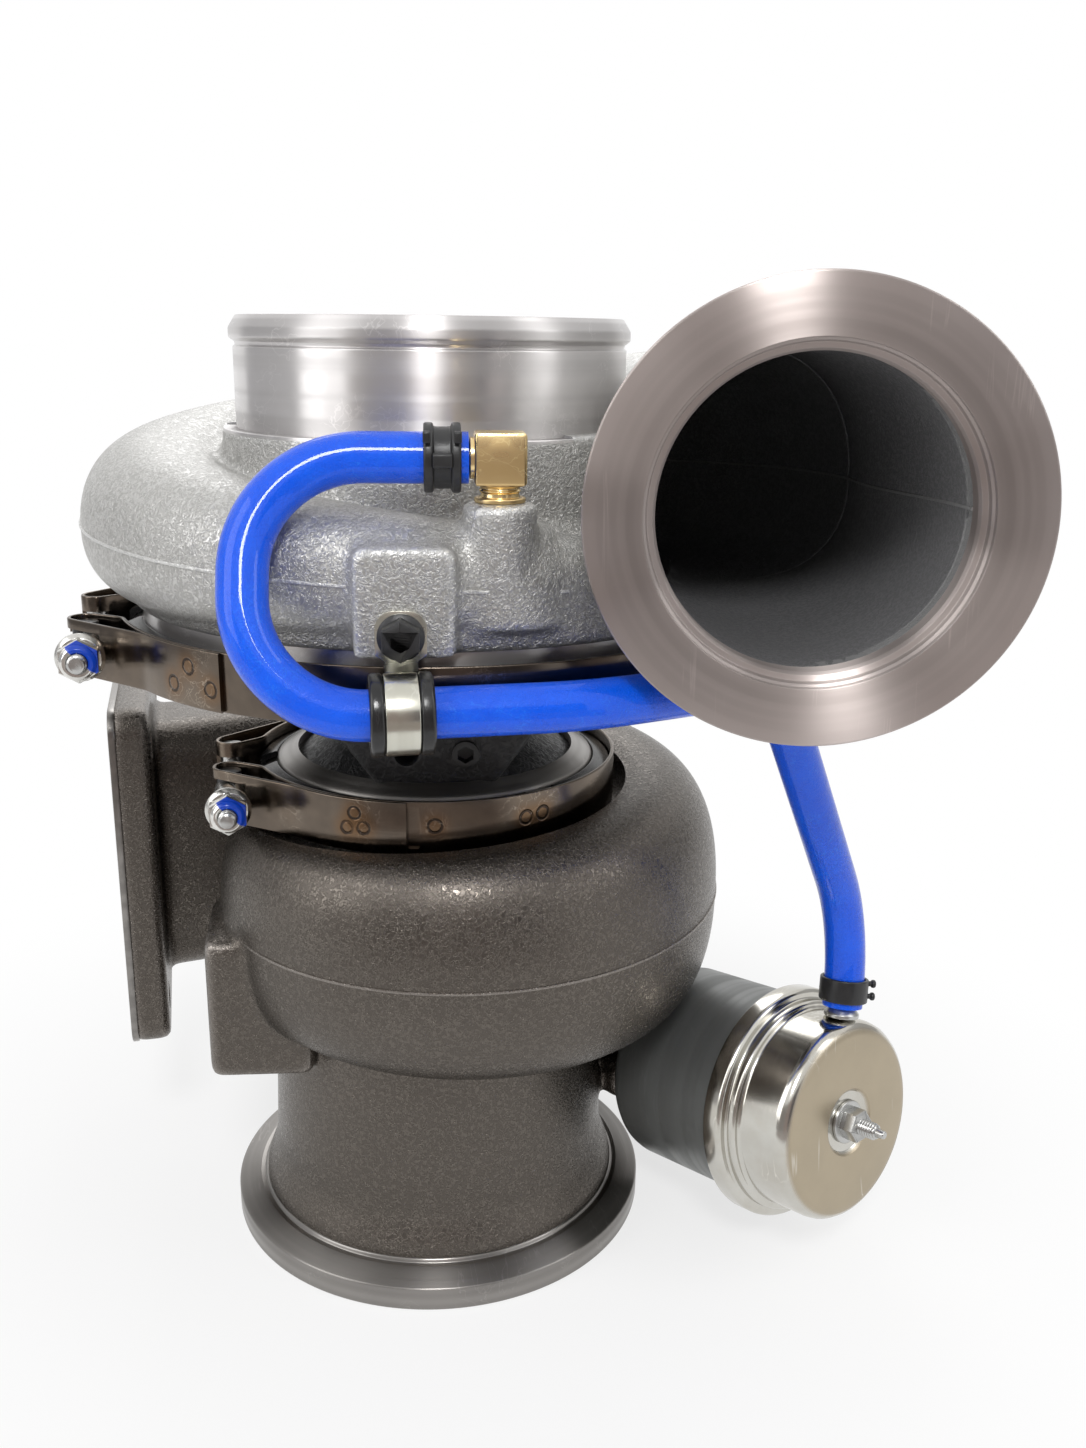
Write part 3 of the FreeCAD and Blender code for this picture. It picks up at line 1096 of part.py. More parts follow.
def diaphragm_piston():
    """Pressed cup that carries the diaphragm and presses on the spring."""
    top = PISTON_TOP
    return on_actuator(turned([
        (STEM_R + SLIP_GAP, top), (PISTON_R, top, 2), (PISTON_R, -6), (PISTON_R - 1.6, -6),
        (PISTON_R - 1.6, top - 1.8, 1), (STEM_R + SLIP_GAP, top - 1.8),
    ]))


def wastegate_spring():
    """Square wire spring between the can's base and the piston."""
    low = CAN_BASE + SHEET_T + 0.2
    high = PISTON_TOP - 2.0
    turns = 6.5
    half = 1.5
    length = high - low - 2 * half
    helix = Part.makeHelix(length / turns, length, 19.0)
    section = Part.makePolygon([
        V(19 - half, 0, -half), V(19 + half, 0, -half), V(19 + half, 0, half), V(19 - half, 0, half),
        V(19 - half, 0, -half),
    ])
    spring = Part.Wire(helix).makePipeShell([Part.Wire(section)], True, True)
    spring.translate(V(0, 0, low + half))
    return on_actuator(spring)


def wastegate_valve():
    """Poppet valve and its long stem up to the diaphragm."""
    face = SEAT_FACE - 0.05
    return on_actuator(turned([
        (0, face - 6), (VALVE_HEAD_R, face - 5, 0.5), (VALVE_HEAD_R, face - 2, 0.5), (VALVE_HEAD_R - 2.5, face),
        (STEM_R, face, 0), (STEM_R, PISTON_TOP + 8.5, 0.5), (0, PISTON_TOP + 8.5),
    ]))


def stem_nut():
    """Nut that holds the diaphragm and piston on the stem."""
    low = PISTON_TOP + 1.1
    return on_actuator(hexagon(13.0, low, low + 5.5).cut(tube(STEM_R + SLIP_GAP, 0, low - 1, low + 7)))


def wastegate_seat():
    """Hardened seat ring pressed into the housing."""
    return on_actuator(tube(SEAT_R, SEAT_BORE_R, SEAT_FACE, SEAT_TOP))


def wastegate_bush():
    """Guide bush for the valve stem, with its head inside the can."""
    head = CAN_BASE + SHEET_T
    return on_actuator(turned([
        (STEM_R + RUN_GAP, CHAMBER_END), (BUSH_R, CHAMBER_END), (BUSH_R, head), (12, head), (12, head + 2.5, 0.5),
        (STEM_R + RUN_GAP, head + 2.5),
    ]))


def actuator_bolt(side):
    """Bolt from inside the can into the housing's ear."""
    head = CAN_BASE + SHEET_T
    bolt = joined([hexagon(8.0, head, head + 3.5), Part.makeCylinder(3.0, 10, V(0, 0, head - 9.5))])
    bolt.translate(V(side * EAR_REACH, 0, 0))
    return on_actuator(bolt)


def stop_screw():
    """Screw through the cap's middle that limits the diaphragm's return."""
    top = CAP_LENGTH
    return on_actuator(turned([
        (0, PISTON_TOP + 9.0), (2.9, PISTON_TOP + 9.0), (2.9, top + 11), (1.4, top + 14.5, 0.5), (0, top + 14.5),
    ]))


def stop_screw_nut():
    """Lock nut that seals the screw against the cap."""
    low = CAP_LENGTH - 1.4
    body = joined([tube(7.5, 0, low, low + 1.2), hexagon(10.0, low + 1, low + 6.5)])
    return on_actuator(body.cut(tube(2.9 + SLIP_GAP, 0, low - 1, low + 8)))


def hose_nipple():
    """Plated nipple on the cap's side."""
    foot, out = nipple_base()
    body = turned([
        (1.6, -1.2), (2.5, -1.2), (2.5, 0.9), (6.0, 1.4), (6.0, 2.6, 0.4), (4.6, 4.4), (HOSE_BORE_R - SEAT_GAP, 4.6),
        (HOSE_BORE_R - SEAT_GAP, 15, 0.8), (1.6, 15),
    ])
    return stand(body, foot, out, SIDE)


def all_parts():
    """Every node of the turbocharger by name."""
    parts = {
        "turbine_housing": turbine_housing(),
        "bearing_housing": bearing_housing(),
        "backplate": backplate(),
        "compressor_housing": compressor_housing(),
        "turbine_wheel_shaft": turbine_wheel_shaft(),
        "compressor_wheel": compressor_wheel(),
        "compressor_nut": compressor_nut(),
        "heat_shield": heat_shield(),
        "journal_bearing_turbine": journal_bearing(BEARING_LOW_Z),
        "journal_bearing_compressor": journal_bearing(BEARING_HIGH_Z),
        "bearing_spacer": bearing_spacer(),
        "thrust_bearing": thrust_bearing(),
        "thrust_collar": thrust_collar(),
        "oil_slinger": oil_slinger(),
        "oil_deflector": oil_deflector(),
        "piston_ring_turbine": piston_ring(NOSE_Z + 4.0),
        "piston_ring_compressor": piston_ring(COMPRESSOR_JOINT_Z - 2.0),
        "backplate_oring": backplate_oring(),
        "feed_pad_plug": feed_pad_plug(),
        "boost_elbow": boost_elbow(),
        "boost_hose": boost_hose(),
        "elbow_hose_clamp": elbow_hose_clamp(),
        "actuator_hose_clamp": actuator_hose_clamp(),
        "clip_cushion": clip_cushion(),
        "clip_strap": clip_strap(),
        "clip_bolt": clip_bolt(),
        "actuator_can": actuator_can(),
        "actuator_cap": actuator_cap(),
        "diaphragm": diaphragm(),
        "diaphragm_piston": diaphragm_piston(),
        "wastegate_spring": wastegate_spring(),
        "wastegate_valve": wastegate_valve(),
        "stem_nut": stem_nut(),
        "wastegate_seat": wastegate_seat(),
        "wastegate_bush": wastegate_bush(),
        "actuator_bolt_1": actuator_bolt(-1),
        "actuator_bolt_2": actuator_bolt(1),
        "stop_screw": stop_screw(),
        "stop_screw_nut": stop_screw_nut(),
        "hose_nipple": hose_nipple(),
    }
    for i, angle in enumerate(BACKPLATE_BOLT_ANGLES):
        parts["backplate_bolt_" + str(i + 1)] = backplate_bolt(angle)
    parts.update(clamp_parts("compressor", COMPRESSOR_CLAMP))
    parts.update(clamp_parts("turbine", TURBINE_CLAMP))
    return parts


os.makedirs("parts", exist_ok=True)
for name, shape in all_parts().items():
    shape.exportStep("parts/" + name + ".step")
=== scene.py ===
# %% [markdown]
# # Looks for a turbocharger
# The construction comes ready from CAD: every piece at its real size, in metres, with the
# shaft on Z and the turbine outlet standing on the floor. This lesson gives each piece the
# skin the real one has. Castings get soft fillets and a sand grain, turned pieces get fine
# rings, sheet metal gets its tint, and the hose gets its gloss.

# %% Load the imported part
import math
import bmesh
import bpy
from mathutils import Matrix, Vector


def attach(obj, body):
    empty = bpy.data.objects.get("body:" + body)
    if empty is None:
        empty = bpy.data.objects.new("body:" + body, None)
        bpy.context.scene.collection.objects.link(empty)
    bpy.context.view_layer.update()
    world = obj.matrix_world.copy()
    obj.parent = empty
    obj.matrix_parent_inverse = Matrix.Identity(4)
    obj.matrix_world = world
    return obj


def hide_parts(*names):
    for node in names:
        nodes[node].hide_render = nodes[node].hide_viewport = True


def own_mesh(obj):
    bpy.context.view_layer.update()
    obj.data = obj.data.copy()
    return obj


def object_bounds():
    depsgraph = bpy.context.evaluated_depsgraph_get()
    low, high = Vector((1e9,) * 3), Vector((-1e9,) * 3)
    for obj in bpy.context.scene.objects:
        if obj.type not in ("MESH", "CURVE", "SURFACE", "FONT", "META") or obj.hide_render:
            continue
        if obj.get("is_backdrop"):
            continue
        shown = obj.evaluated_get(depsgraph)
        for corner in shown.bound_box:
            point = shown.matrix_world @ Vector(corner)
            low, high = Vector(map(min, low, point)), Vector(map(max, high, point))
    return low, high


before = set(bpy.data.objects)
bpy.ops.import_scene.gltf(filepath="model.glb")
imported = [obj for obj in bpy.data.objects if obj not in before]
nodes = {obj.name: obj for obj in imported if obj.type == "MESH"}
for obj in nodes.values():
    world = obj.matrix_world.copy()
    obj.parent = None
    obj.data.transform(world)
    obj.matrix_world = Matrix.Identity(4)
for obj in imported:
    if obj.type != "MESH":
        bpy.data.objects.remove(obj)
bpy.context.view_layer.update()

# %% [markdown]
# ## Measures and places
# The new skins are drawn in millimetres, on the same numbers that the solids were built
# from, and turned into metres when the mesh is made. A piece that is turned on a lathe keeps
# its own axis as local Z, so that its material can draw rings round that axis.

# %% Measures and places
MM = 0.001
OVAL_POINTS = 64
UP = Vector((0, 0, 1))
ORIGIN = Vector((0, 0, 0))


def heading(angle, rise=0.0):
    """Unit vector from an angle about Z and a rise above the floor, in degrees."""
    a, e = math.radians(angle), math.radians(rise)
    return Vector((math.cos(a) * math.cos(e), math.sin(a) * math.cos(e), math.sin(e)))


def stand(origin, axis, turn):
    """The place of a piece drawn on +Z: its origin in millimetres, its axis, its X near turn."""
    third = axis.normalized()
    second = third.cross(turn).normalized()
    first = second.cross(third)
    turned = Matrix((first, second, third)).transposed().to_4x4()
    return Matrix.Translation(origin * MM) @ turned


FRONT_TURN = -100
FRONT, SIDE = heading(FRONT_TURN), heading(FRONT_TURN + 90)
DISCHARGE, DISCHARGE_SIDE = heading(252.5), heading(342.5)
OUTLET_SIDE, OUTLET_OUT, OUTLET_Z, OUTLET_R = 112.1, 109.7, 272.2, 45.5
DISCHARGE_CENTRE = DISCHARGE_SIDE * OUTLET_SIDE + DISCHARGE * OUTLET_OUT + UP * OUTLET_Z
ACTUATOR_AXIS = heading(-64, 8)
ACTUATOR_RIM = heading(-27.83) * 131.7 + UP * 53.5
ACROSS = UP.cross(ACTUATOR_AXIS).normalized()
ON_SHAFT = stand(ORIGIN, UP, Vector((1, 0, 0)))
ON_DISCHARGE = stand(DISCHARGE_CENTRE, DISCHARGE, DISCHARGE_SIDE)
ON_ACTUATOR = stand(ACTUATOR_RIM, ACTUATOR_AXIS, ACROSS)


def front_point(side, out, z):
    """A point given across and out from the shaft, as seen from the hose side."""
    return SIDE * side + FRONT * out + UP * z


# %% [markdown]
# ## Mesh tools
# Nearly every piece here is one of three things: a shape turned on a lathe, an outline with
# thickness, or a row of ovals with a skin over them. One helper makes each. Corners carry
# their own rounding, because a real edge always catches a thin line of light.

# %% Outlines
def corner_arc(before, here, after, radius, steps):
    """The arc that rounds a corner between two straight lines, in the plane or in space."""
    back, ahead = (before - here).normalized(), (after - here).normalized()
    half = back.angle(ahead) / 2
    centre = here + (back + ahead).normalized() * (radius / math.sin(half))
    arm = here + back * (radius / math.tan(half)) - centre
    last = here + ahead * (radius / math.tan(half)) - centre
    turn = math.pi - 2 * half
    points = []
    for k in range(steps + 1):
        a, b = math.sin((1 - k / steps) * turn), math.sin(k / steps * turn)
        points.append(centre + (arm * a + last * b) / math.sin(turn))
    return points


def rounded(corners, steps=4):
    """A closed outline through (a, b) or (a, b, rounding) corners."""
    points = []
    count = len(corners)
    for i, corner in enumerate(corners):
        here = Vector(corner[:2])
        radius = corner[2] if len(corner) > 2 else 0
        if radius <= 0:
            points.append(here)
            continue
        before, after = Vector(corners[i - 1][:2]), Vector(corners[(i + 1) % count][:2])
        points += corner_arc(before, here, after, radius, steps)
    return points


def box(left, low, right, high, rounding=0):
    """Corners of a rectangle for rounded()."""
    return [(left, low, rounding), (right, low, rounding), (right, high, rounding), (left, high, rounding)]


def oval(centre, across, up, half_across, half_down, half_up, power):
    """A closed curve between an oval and a box, by its power."""
    points = []
    for i in range(OVAL_POINTS):
        t = 2 * math.pi * i / OVAL_POINTS
        c = math.copysign(abs(math.cos(t)) ** (2 / power), math.cos(t))
        s = math.copysign(abs(math.sin(t)) ** (2 / power), math.sin(t))
        points.append(centre + across * (half_across * c) + up * ((half_up if s > 0 else half_down) * s))
    return points


# %% Meshes from outlines
def add_object(name, mesh):
    """A new object in the scene."""
    made = bpy.data.objects.new(name, mesh)
    bpy.context.scene.collection.objects.link(made)
    return made


def shade(mesh, sharp):
    """Smooth shading, with edges steeper than an angle kept crisp."""
    mesh.shade_smooth()
    mesh.set_sharp_from_angle(angle=math.radians(sharp))


def new_piece(name, bm, place=ON_SHAFT, sharp=32):
    """Turns edit geometry in millimetres into a smooth shaded object at its place."""
    bmesh.ops.remove_doubles(bm, verts=bm.verts, dist=1e-4)
    bmesh.ops.recalc_face_normals(bm, faces=bm.faces)
    mesh = bpy.data.meshes.new(name)
    bm.to_mesh(mesh)
    bm.free()
    mesh.transform(Matrix.Scale(MM, 4))
    shade(mesh, sharp)
    piece = add_object(name, mesh)
    piece.matrix_world = place
    return piece


def skin(name, rings, place=ON_SHAFT, wrap=False, sharp=32):
    """A piece with quads over a list of point rings.

    With wrap the last ring joins the first; without it both ends are closed.
    """
    bm = bmesh.new()
    rows = [[bm.verts.new(p) for p in ring] for ring in rings]
    for low, high in list(zip(rows, rows[1:])) + ([(rows[-1], rows[0])] if wrap else []):
        for i in range(len(low)):
            j = (i + 1) % len(low)
            bm.faces.new((low[i], low[j], high[j], high[i]))
    if not wrap:
        bm.faces.new(rows[0])
        bm.faces.new(rows[-1])
    return new_piece(name, bm, place, sharp)


def lathe(name, corners, place=ON_SHAFT, segments=144, start=0.0, span=360.0):
    """A shape turned about local Z from (radius, height, rounding) corners."""
    outline = rounded(corners)
    whole = span >= 360
    rings = []
    for i in range(segments if whole else segments + 1):
        out = heading(start + span * i / segments)
        rings.append([out * r + UP * z for r, z in outline])
    return skin(name, rings, place, wrap=whole)


def slab(name, corners, low, high, place=ON_SHAFT, bevel=0.0):
    """A flat outline raised between two heights, with its rims rounded by bevel."""
    outline = rounded(corners, 6)
    middle = sum(outline, Vector((0, 0))) / len(outline)

    def ring(z, inset):
        points = []
        for i, p in enumerate(outline):
            edge = (outline[(i + 1) % len(outline)] - outline[i - 1]).normalized()
            side = Vector((edge.y, -edge.x))
            side = side if side.dot(p - middle) > 0 else -side
            q = p - side * inset
            points.append((q.x, q.y, z))
        return points

    stops = [(low, bevel), (low + 0.3 * bevel, 0.3 * bevel), (low + bevel, 0)]
    stops += [(high - bevel, 0), (high - 0.3 * bevel, 0.3 * bevel), (high, bevel)]
    if bevel <= 0:
        stops = [(low, 0), (high, 0)]
    return skin(name, [ring(z, inset) for z, inset in stops], place)


def carried(path, section, up):
    """Rings of a closed section carried along a line without twist."""
    rings = []
    last = len(path) - 1
    for i, point in enumerate(path):
        ahead = (path[min(i + 1, last)] - path[max(i - 1, 0)]).normalized()
        up = (up - ahead * up.dot(ahead)).normalized()
        side = ahead.cross(up)
        rings.append([point + side * a + up * b for a, b in section])
    return rings


# %% [markdown]
# ## Castings
# A sand casting has no sharp inner corner: wherever two forms meet, the pattern maker leaves
# a fillet. The forms are drawn as simple closed skins that overlap. A voxel remesh melts them
# into one skin, and a few rounds of smoothing turn every meeting line into a fillet. The
# machined hollows are cut afterwards, so their edges stay crisp.

# %% Melt and carve
def settle(piece):
    """Fixes the piece's modifiers into its mesh."""
    graph = bpy.context.evaluated_depsgraph_get()
    mesh = bpy.data.meshes.new_from_object(piece.evaluated_get(graph))
    piece.modifiers.clear()
    piece.data = mesh
    return piece


def melt(name, forms, voxel, rounds):
    """Overlapping closed forms as one cast skin with fillets."""
    bm = bmesh.new()
    for form in forms:
        form.data.transform(form.matrix_world)
        bm.from_mesh(form.data)
        bpy.data.objects.remove(form)
    mesh = bpy.data.meshes.new(name)
    bm.to_mesh(mesh)
    bm.free()
    piece = add_object(name, mesh)
    remesh = piece.modifiers.new("remesh", "REMESH")
    remesh.mode = "VOXEL"
    remesh.voxel_size = voxel * MM
    smooth = piece.modifiers.new("smooth", "SMOOTH")
    smooth.factor = 0.5
    smooth.iterations = rounds
    return settle(piece)


def carve(piece, hollows):
    """Cuts closed forms out of the piece."""
    for hollow in hollows:
        cut = piece.modifiers.new("cut", "BOOLEAN")
        cut.operation = "DIFFERENCE"
        cut.solver = "MANIFOLD"
        cut.object = hollow
    settle(piece)
    for hollow in hollows:
        bpy.data.objects.remove(hollow)
    shade(piece.data, 40)
    print(piece.name, "faces:", len(piece.data.polygons))
    return piece


# %% [markdown]
# ## Camera, floor and light
# The camera stands where the photographer stood, a little above and to the left. The floor
# is a pale sheet that keeps the part's shadow. The room is a plain soft studio: the world
# shows white to the camera and to shiny metal, and four soft lamps shape the round forms.
# Grey cards stand round the part. They show only in its reflections, where they draw the
# dark bands that turned metal has.

# %% Camera
camera_data = bpy.data.cameras.new("camera")
camera_data.sensor_width = 36
camera_data.lens = 33.27
camera_data.clip_start, camera_data.clip_end = 0.01, 20
camera = add_object("camera", camera_data)
bpy.context.scene.camera = camera
LOOK = Vector((0.2448, 0.9285, -0.2792)).normalized()
RIGHT = Vector((0.9678, -0.2514, 0.0122))
RIGHT = (RIGHT - LOOK * RIGHT.dot(LOOK)).normalized()
TOP = RIGHT.cross(LOOK)
camera.matrix_world = Matrix.Translation(Vector((-0.0790, -0.4482, 0.3160))) @ Matrix(
    (RIGHT, TOP, -LOOK)).transposed().to_4x4()


# %% Node helper
def add(tree, kind, inputs=None, **settings):
    """Adds a node; inputs holds values or the sockets to link, settings its own choices."""
    node = tree.nodes.new(kind)
    for key, value in settings.items():
        setattr(node, key, value)
    for key, value in (inputs or {}).items():
        if isinstance(value, bpy.types.NodeSocket):
            tree.links.new(value, node.inputs[key])
        else:
            node.inputs[key].default_value = value
    return node


def own_place(tree):
    """The piece's own coordinates."""
    return add(tree, "ShaderNodeTexCoord").outputs["Object"]


# %% Room
def direct_sight(tree):
    """1 for rays from the camera, off shiny metal or through glass; 0 for light on the part."""
    rays = add(tree, "ShaderNodeLightPath").outputs
    sight = rays["Is Camera Ray"]
    for kind in ("Is Glossy Ray", "Is Transmission Ray"):
        sight = add(tree, "ShaderNodeMath", {0: sight, 1: rays[kind]}, operation="MAXIMUM").outputs[0]
    return sight


world = bpy.data.worlds.new("studio")
bpy.context.scene.world = world
world.use_nodes = True
room = world.node_tree
room.nodes.clear()
level = add(room, "ShaderNodeMapRange", {"Value": direct_sight(room), "To Min": 0.5, "To Max": 1.0})
sky = add(room, "ShaderNodeBackground", {"Color": (1, 1, 1, 1), "Strength": level.outputs[0]})
add(room, "ShaderNodeOutputWorld", {"Surface": sky.outputs[0]})
bpy.context.scene.view_settings.view_transform = "Standard"


def lamp(name, place, width, height, watts, aim=0.17):
    """A soft lamp of a given width and height that points at the part, aim metres above the floor."""
    data = bpy.data.lights.new(name, "AREA")
    data.shape = "RECTANGLE"
    data.size, data.size_y = width, height
    data.energy = watts
    light = add_object(name, data)
    light.location = place
    light.rotation_mode = "QUATERNION"
    light.rotation_quaternion = (Vector((0, 0, aim)) - Vector(place)).to_track_quat("-Z", "Y")


lamp("key", (-0.25, -1.1, 1.2), 0.3, 0.3, 9)
lamp("left", (-1.3, -0.4, 0.9), 0.8, 1.2, 7)
lamp("right", (1.2, -0.7, 1.2), 0.4, 1.2, 4)
lamp("back", (0.2, 1.4, 1.2), 1.0, 0.8, 6, aim=0.2)

# %% Floor
floor_mesh = bpy.data.meshes.new("floor")
floor_mesh.from_pydata([(-4, -4, 0), (4, -4, 0), (4, 4, 0), (-4, 4, 0)], [], [(0, 1, 2, 3)])
floor = add_object("floor", floor_mesh)
paper = bpy.data.materials.new("pale paper")
paper.use_nodes = True
tree = paper.node_tree
tree.nodes.clear()
spot = own_place(tree)
away = add(tree, "ShaderNodeVectorMath", {0: spot}, operation="LENGTH").outputs["Value"]
far = add(tree, "ShaderNodeMapRange", {
    "Value": away, "From Min": 0.12, "From Max": 0.34, "To Min": 0.7, "To Max": 1.0,
}, interpolation_type="SMOOTHSTEP").outputs[0]
share = add(tree, "ShaderNodeMath", {0: direct_sight(tree), 1: far}, operation="MULTIPLY")
diffuse = add(tree, "ShaderNodeBsdfDiffuse", {"Color": (0.9, 0.9, 0.9, 1)})
glow = add(tree, "ShaderNodeEmission", {"Color": (1, 1, 1, 1)})
both = add(tree, "ShaderNodeMixShader", {0: share.outputs[0], 1: diffuse.outputs[0], 2: glow.outputs[0]})
add(tree, "ShaderNodeOutputMaterial", {"Surface": both.outputs[0]})
floor_mesh.materials.append(paper)
floor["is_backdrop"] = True


# %% Grey cards
def card(name, start, end, tone, low=0.02, high=0.95, away=1.7, top_away=1.7):
    """A curved sheet round the part, seen only as a reflection.

    It reaches from start to end, in degrees to the right of the camera.
    """
    count = max(2, round((end - start) / 5) + 1)
    turns = [math.radians(FRONT_TURN + start + (end - start) * i / (count - 1)) for i in range(count)]
    rims = ((away, low), (top_away, high))
    corners = [(r * math.cos(t), r * math.sin(t), z) for r, z in rims for t in turns]
    mesh = bpy.data.meshes.new(name)
    mesh.from_pydata(corners, [], [(i, i + 1, count + i + 1, count + i) for i in range(count - 1)])
    sheet = add_object(name, mesh)
    sheet.visible_camera = sheet.visible_diffuse = sheet.visible_shadow = sheet.visible_transmission = False
    paint = bpy.data.materials.new(name)
    paint.use_nodes = True
    paint.node_tree.nodes.clear()
    even_glow = add(paint.node_tree, "ShaderNodeEmission", {"Color": (*tone, 1)})
    add(paint.node_tree, "ShaderNodeOutputMaterial", {"Surface": even_glow.outputs[0]})
    mesh.materials.append(paint)
    sheet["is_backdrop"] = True


card("card_floor", -50, 42, (0.40, 0.355, 0.335), 0.004, 0.004, 1.7, 0.45)
card("card_far_left", -130, -80, (0.45, 0.45, 0.46))
card("card_left", -62, -12, (0.33, 0.31, 0.30))
card("card_front", -12, 13, (0.36, 0.30, 0.28))
card("card_front_right", 13, 35, (0.15, 0.14, 0.15))
card("card_right", 75, 130, (0.50, 0.50, 0.50))

# %% [markdown]
# ## Shared effects
# Five effects come back on many surfaces, so each is a node group with named sockets. Sand
# grain is wrinkled noise, as a casting shows it. Turned rings are noise that only changes
# with the distance from the local Z axis and along it. Scratches are stretched noise cut to
# thin lines, and stains are soft patches. The fifth reads the mesh's own curvature, so it
# needs the fine cast skins: it marks worn bright edges, and hollows that get painted shade.

# %% Group helper
def group(name, inputs, outputs):
    """An empty shader group with named number sockets; gives its tree, input and output node."""
    tree = bpy.data.node_groups.new(name, "ShaderNodeTree")
    for socket, value in inputs.items():
        made = tree.interface.new_socket(name=socket, in_out="INPUT", socket_type="NodeSocketFloat")
        made.default_value = value
    for socket in outputs:
        tree.interface.new_socket(name=socket, in_out="OUTPUT", socket_type="NodeSocketFloat")
    return tree, tree.nodes.new("NodeGroupInput"), tree.nodes.new("NodeGroupOutput")


def math_node(tree, operation, a, b=0.0):
    """One sum or product of two numbers or sockets."""
    return add(tree, "ShaderNodeMath", {0: a, 1: b}, operation=operation).outputs[0]


def ramp(tree, value, low, high, start=0.0, end=1.0):
    """A smooth step between two values."""
    node = add(tree, "ShaderNodeMapRange", {
        "Value": value, "From Min": low, "From Max": high, "To Min": start, "To Max": end,
    }, interpolation_type="SMOOTHSTEP")
    return node.outputs[0]


# %% Sand grain
sand_grain, given, made = group("sand_grain", {"Grain per Metre": 600.0, "Wrinkle": 1.5}, ["Height", "Tone"])
spot = own_place(sand_grain)
coarse = add(sand_grain, "ShaderNodeTexNoise", {
    "Vector": spot, "Scale": given.outputs["Grain per Metre"], "Detail": 3.0, "Roughness": 0.6,
    "Distortion": given.outputs["Wrinkle"],
})
double = math_node(sand_grain, "MULTIPLY", given.outputs["Grain per Metre"], 2.3)
cells = add(sand_grain, "ShaderNodeTexVoronoi", {"Vector": spot, "Scale": double}, feature="SMOOTH_F1")
worms = ramp(sand_grain, coarse.outputs["Fac"], 0.42, 0.60)
pits = ramp(sand_grain, cells.outputs["Distance"], 0.1, 0.7, 0.35, 0.0)
total = math_node(sand_grain, "ADD", worms, pits)
sand_grain.links.new(total, made.inputs["Height"])
sand_grain.links.new(ramp(sand_grain, total, 0.0, 1.2), made.inputs["Tone"])

# %% Turned rings
turned_rings, given, made = group("turned_rings", {"Rings per Metre": 2500.0}, ["Height", "Tone"])
spot = own_place(turned_rings)
apart = add(turned_rings, "ShaderNodeSeparateXYZ", {"Vector": spot})
flat = add(turned_rings, "ShaderNodeCombineXYZ", {"X": apart.outputs["X"], "Y": apart.outputs["Y"]})
radius = add(turned_rings, "ShaderNodeVectorMath", {0: flat.outputs[0]}, operation="LENGTH").outputs["Value"]
line = add(turned_rings, "ShaderNodeCombineXYZ", {"X": radius, "Y": apart.outputs["Z"]})
fine = add(turned_rings, "ShaderNodeTexNoise", {
    "Vector": line.outputs[0], "Scale": given.outputs["Rings per Metre"], "Detail": 2.0,
})
slow = add(turned_rings, "ShaderNodeTexNoise", {"Vector": line.outputs[0], "Scale": 180.0, "Detail": 2.0})
turned_rings.links.new(fine.outputs["Fac"], made.inputs["Height"])
turned_rings.links.new(ramp(turned_rings, slow.outputs["Fac"], 0.35, 0.65), made.inputs["Tone"])

# %% Scratches and stains
scratches, given, made = group("scratches", {"Lines per Metre": 90.0, "Share": 0.5}, ["Mask"])
spot = own_place(scratches)
masks = []
for turn, stretch in ((0.5, 0.04), (1.7, 0.05), (2.6, 0.03)):
    lean = add(scratches, "ShaderNodeMapping", {
        "Vector": spot, "Rotation": (0.3 * turn, 0.2, turn), "Scale": (1, stretch, 1)})
    noise = add(scratches, "ShaderNodeTexNoise", {
        "Vector": lean.outputs[0], "Scale": given.outputs["Lines per Metre"], "Detail": 4.0, "Distortion": 0.3,
    })
    off = math_node(scratches, "ABSOLUTE", math_node(scratches, "SUBTRACT", noise.outputs["Fac"], 0.5))
    masks.append(ramp(scratches, off, 0.0, 0.006, 1.0, 0.0))
both = math_node(scratches, "MAXIMUM", math_node(scratches, "MAXIMUM", masks[0], masks[1]), masks[2])
patch = add(scratches, "ShaderNodeTexNoise", {"Vector": spot, "Scale": 45.0, "Detail": 1.0})
shown = ramp(scratches, patch.outputs["Fac"], 0.5, 0.62)
both = math_node(scratches, "MULTIPLY", both, shown)
scratches.links.new(math_node(scratches, "MULTIPLY", both, given.outputs["Share"]), made.inputs["Mask"])

stains, given, made = group("stains", {"Patches per Metre": 30.0}, ["Mask"])
spot = own_place(stains)
cloud = add(stains, "ShaderNodeTexNoise", {
    "Vector": spot, "Scale": given.outputs["Patches per Metre"], "Detail": 5.0, "Roughness": 0.6,
})
stains.links.new(ramp(stains, cloud.outputs["Fac"], 0.3, 0.7), made.inputs["Mask"])

# %% Edge wear and painted shade in hollows
edge_wear_and_hollow_shade, given, made = group("edge_wear_and_hollow_shade", {"Sharpness": 0.04}, ["Edge", "Painted Hollow Shade"])
curve = add(edge_wear_and_hollow_shade, "ShaderNodeNewGeometry").outputs["Pointiness"]
above = math_node(edge_wear_and_hollow_shade, "ADD", given.outputs["Sharpness"], 0.5)
below = math_node(edge_wear_and_hollow_shade, "SUBTRACT", 0.5, given.outputs["Sharpness"])
edge_wear_and_hollow_shade.links.new(ramp(edge_wear_and_hollow_shade, curve, 0.505, above), made.inputs["Edge"])
# Painted shade: the hollow output marks concave places, where shade falls; the edge output is wear.
edge_wear_and_hollow_shade.links.new(ramp(edge_wear_and_hollow_shade, curve, below, 0.495, 1.0, 0.0), made.inputs["Painted Hollow Shade"])
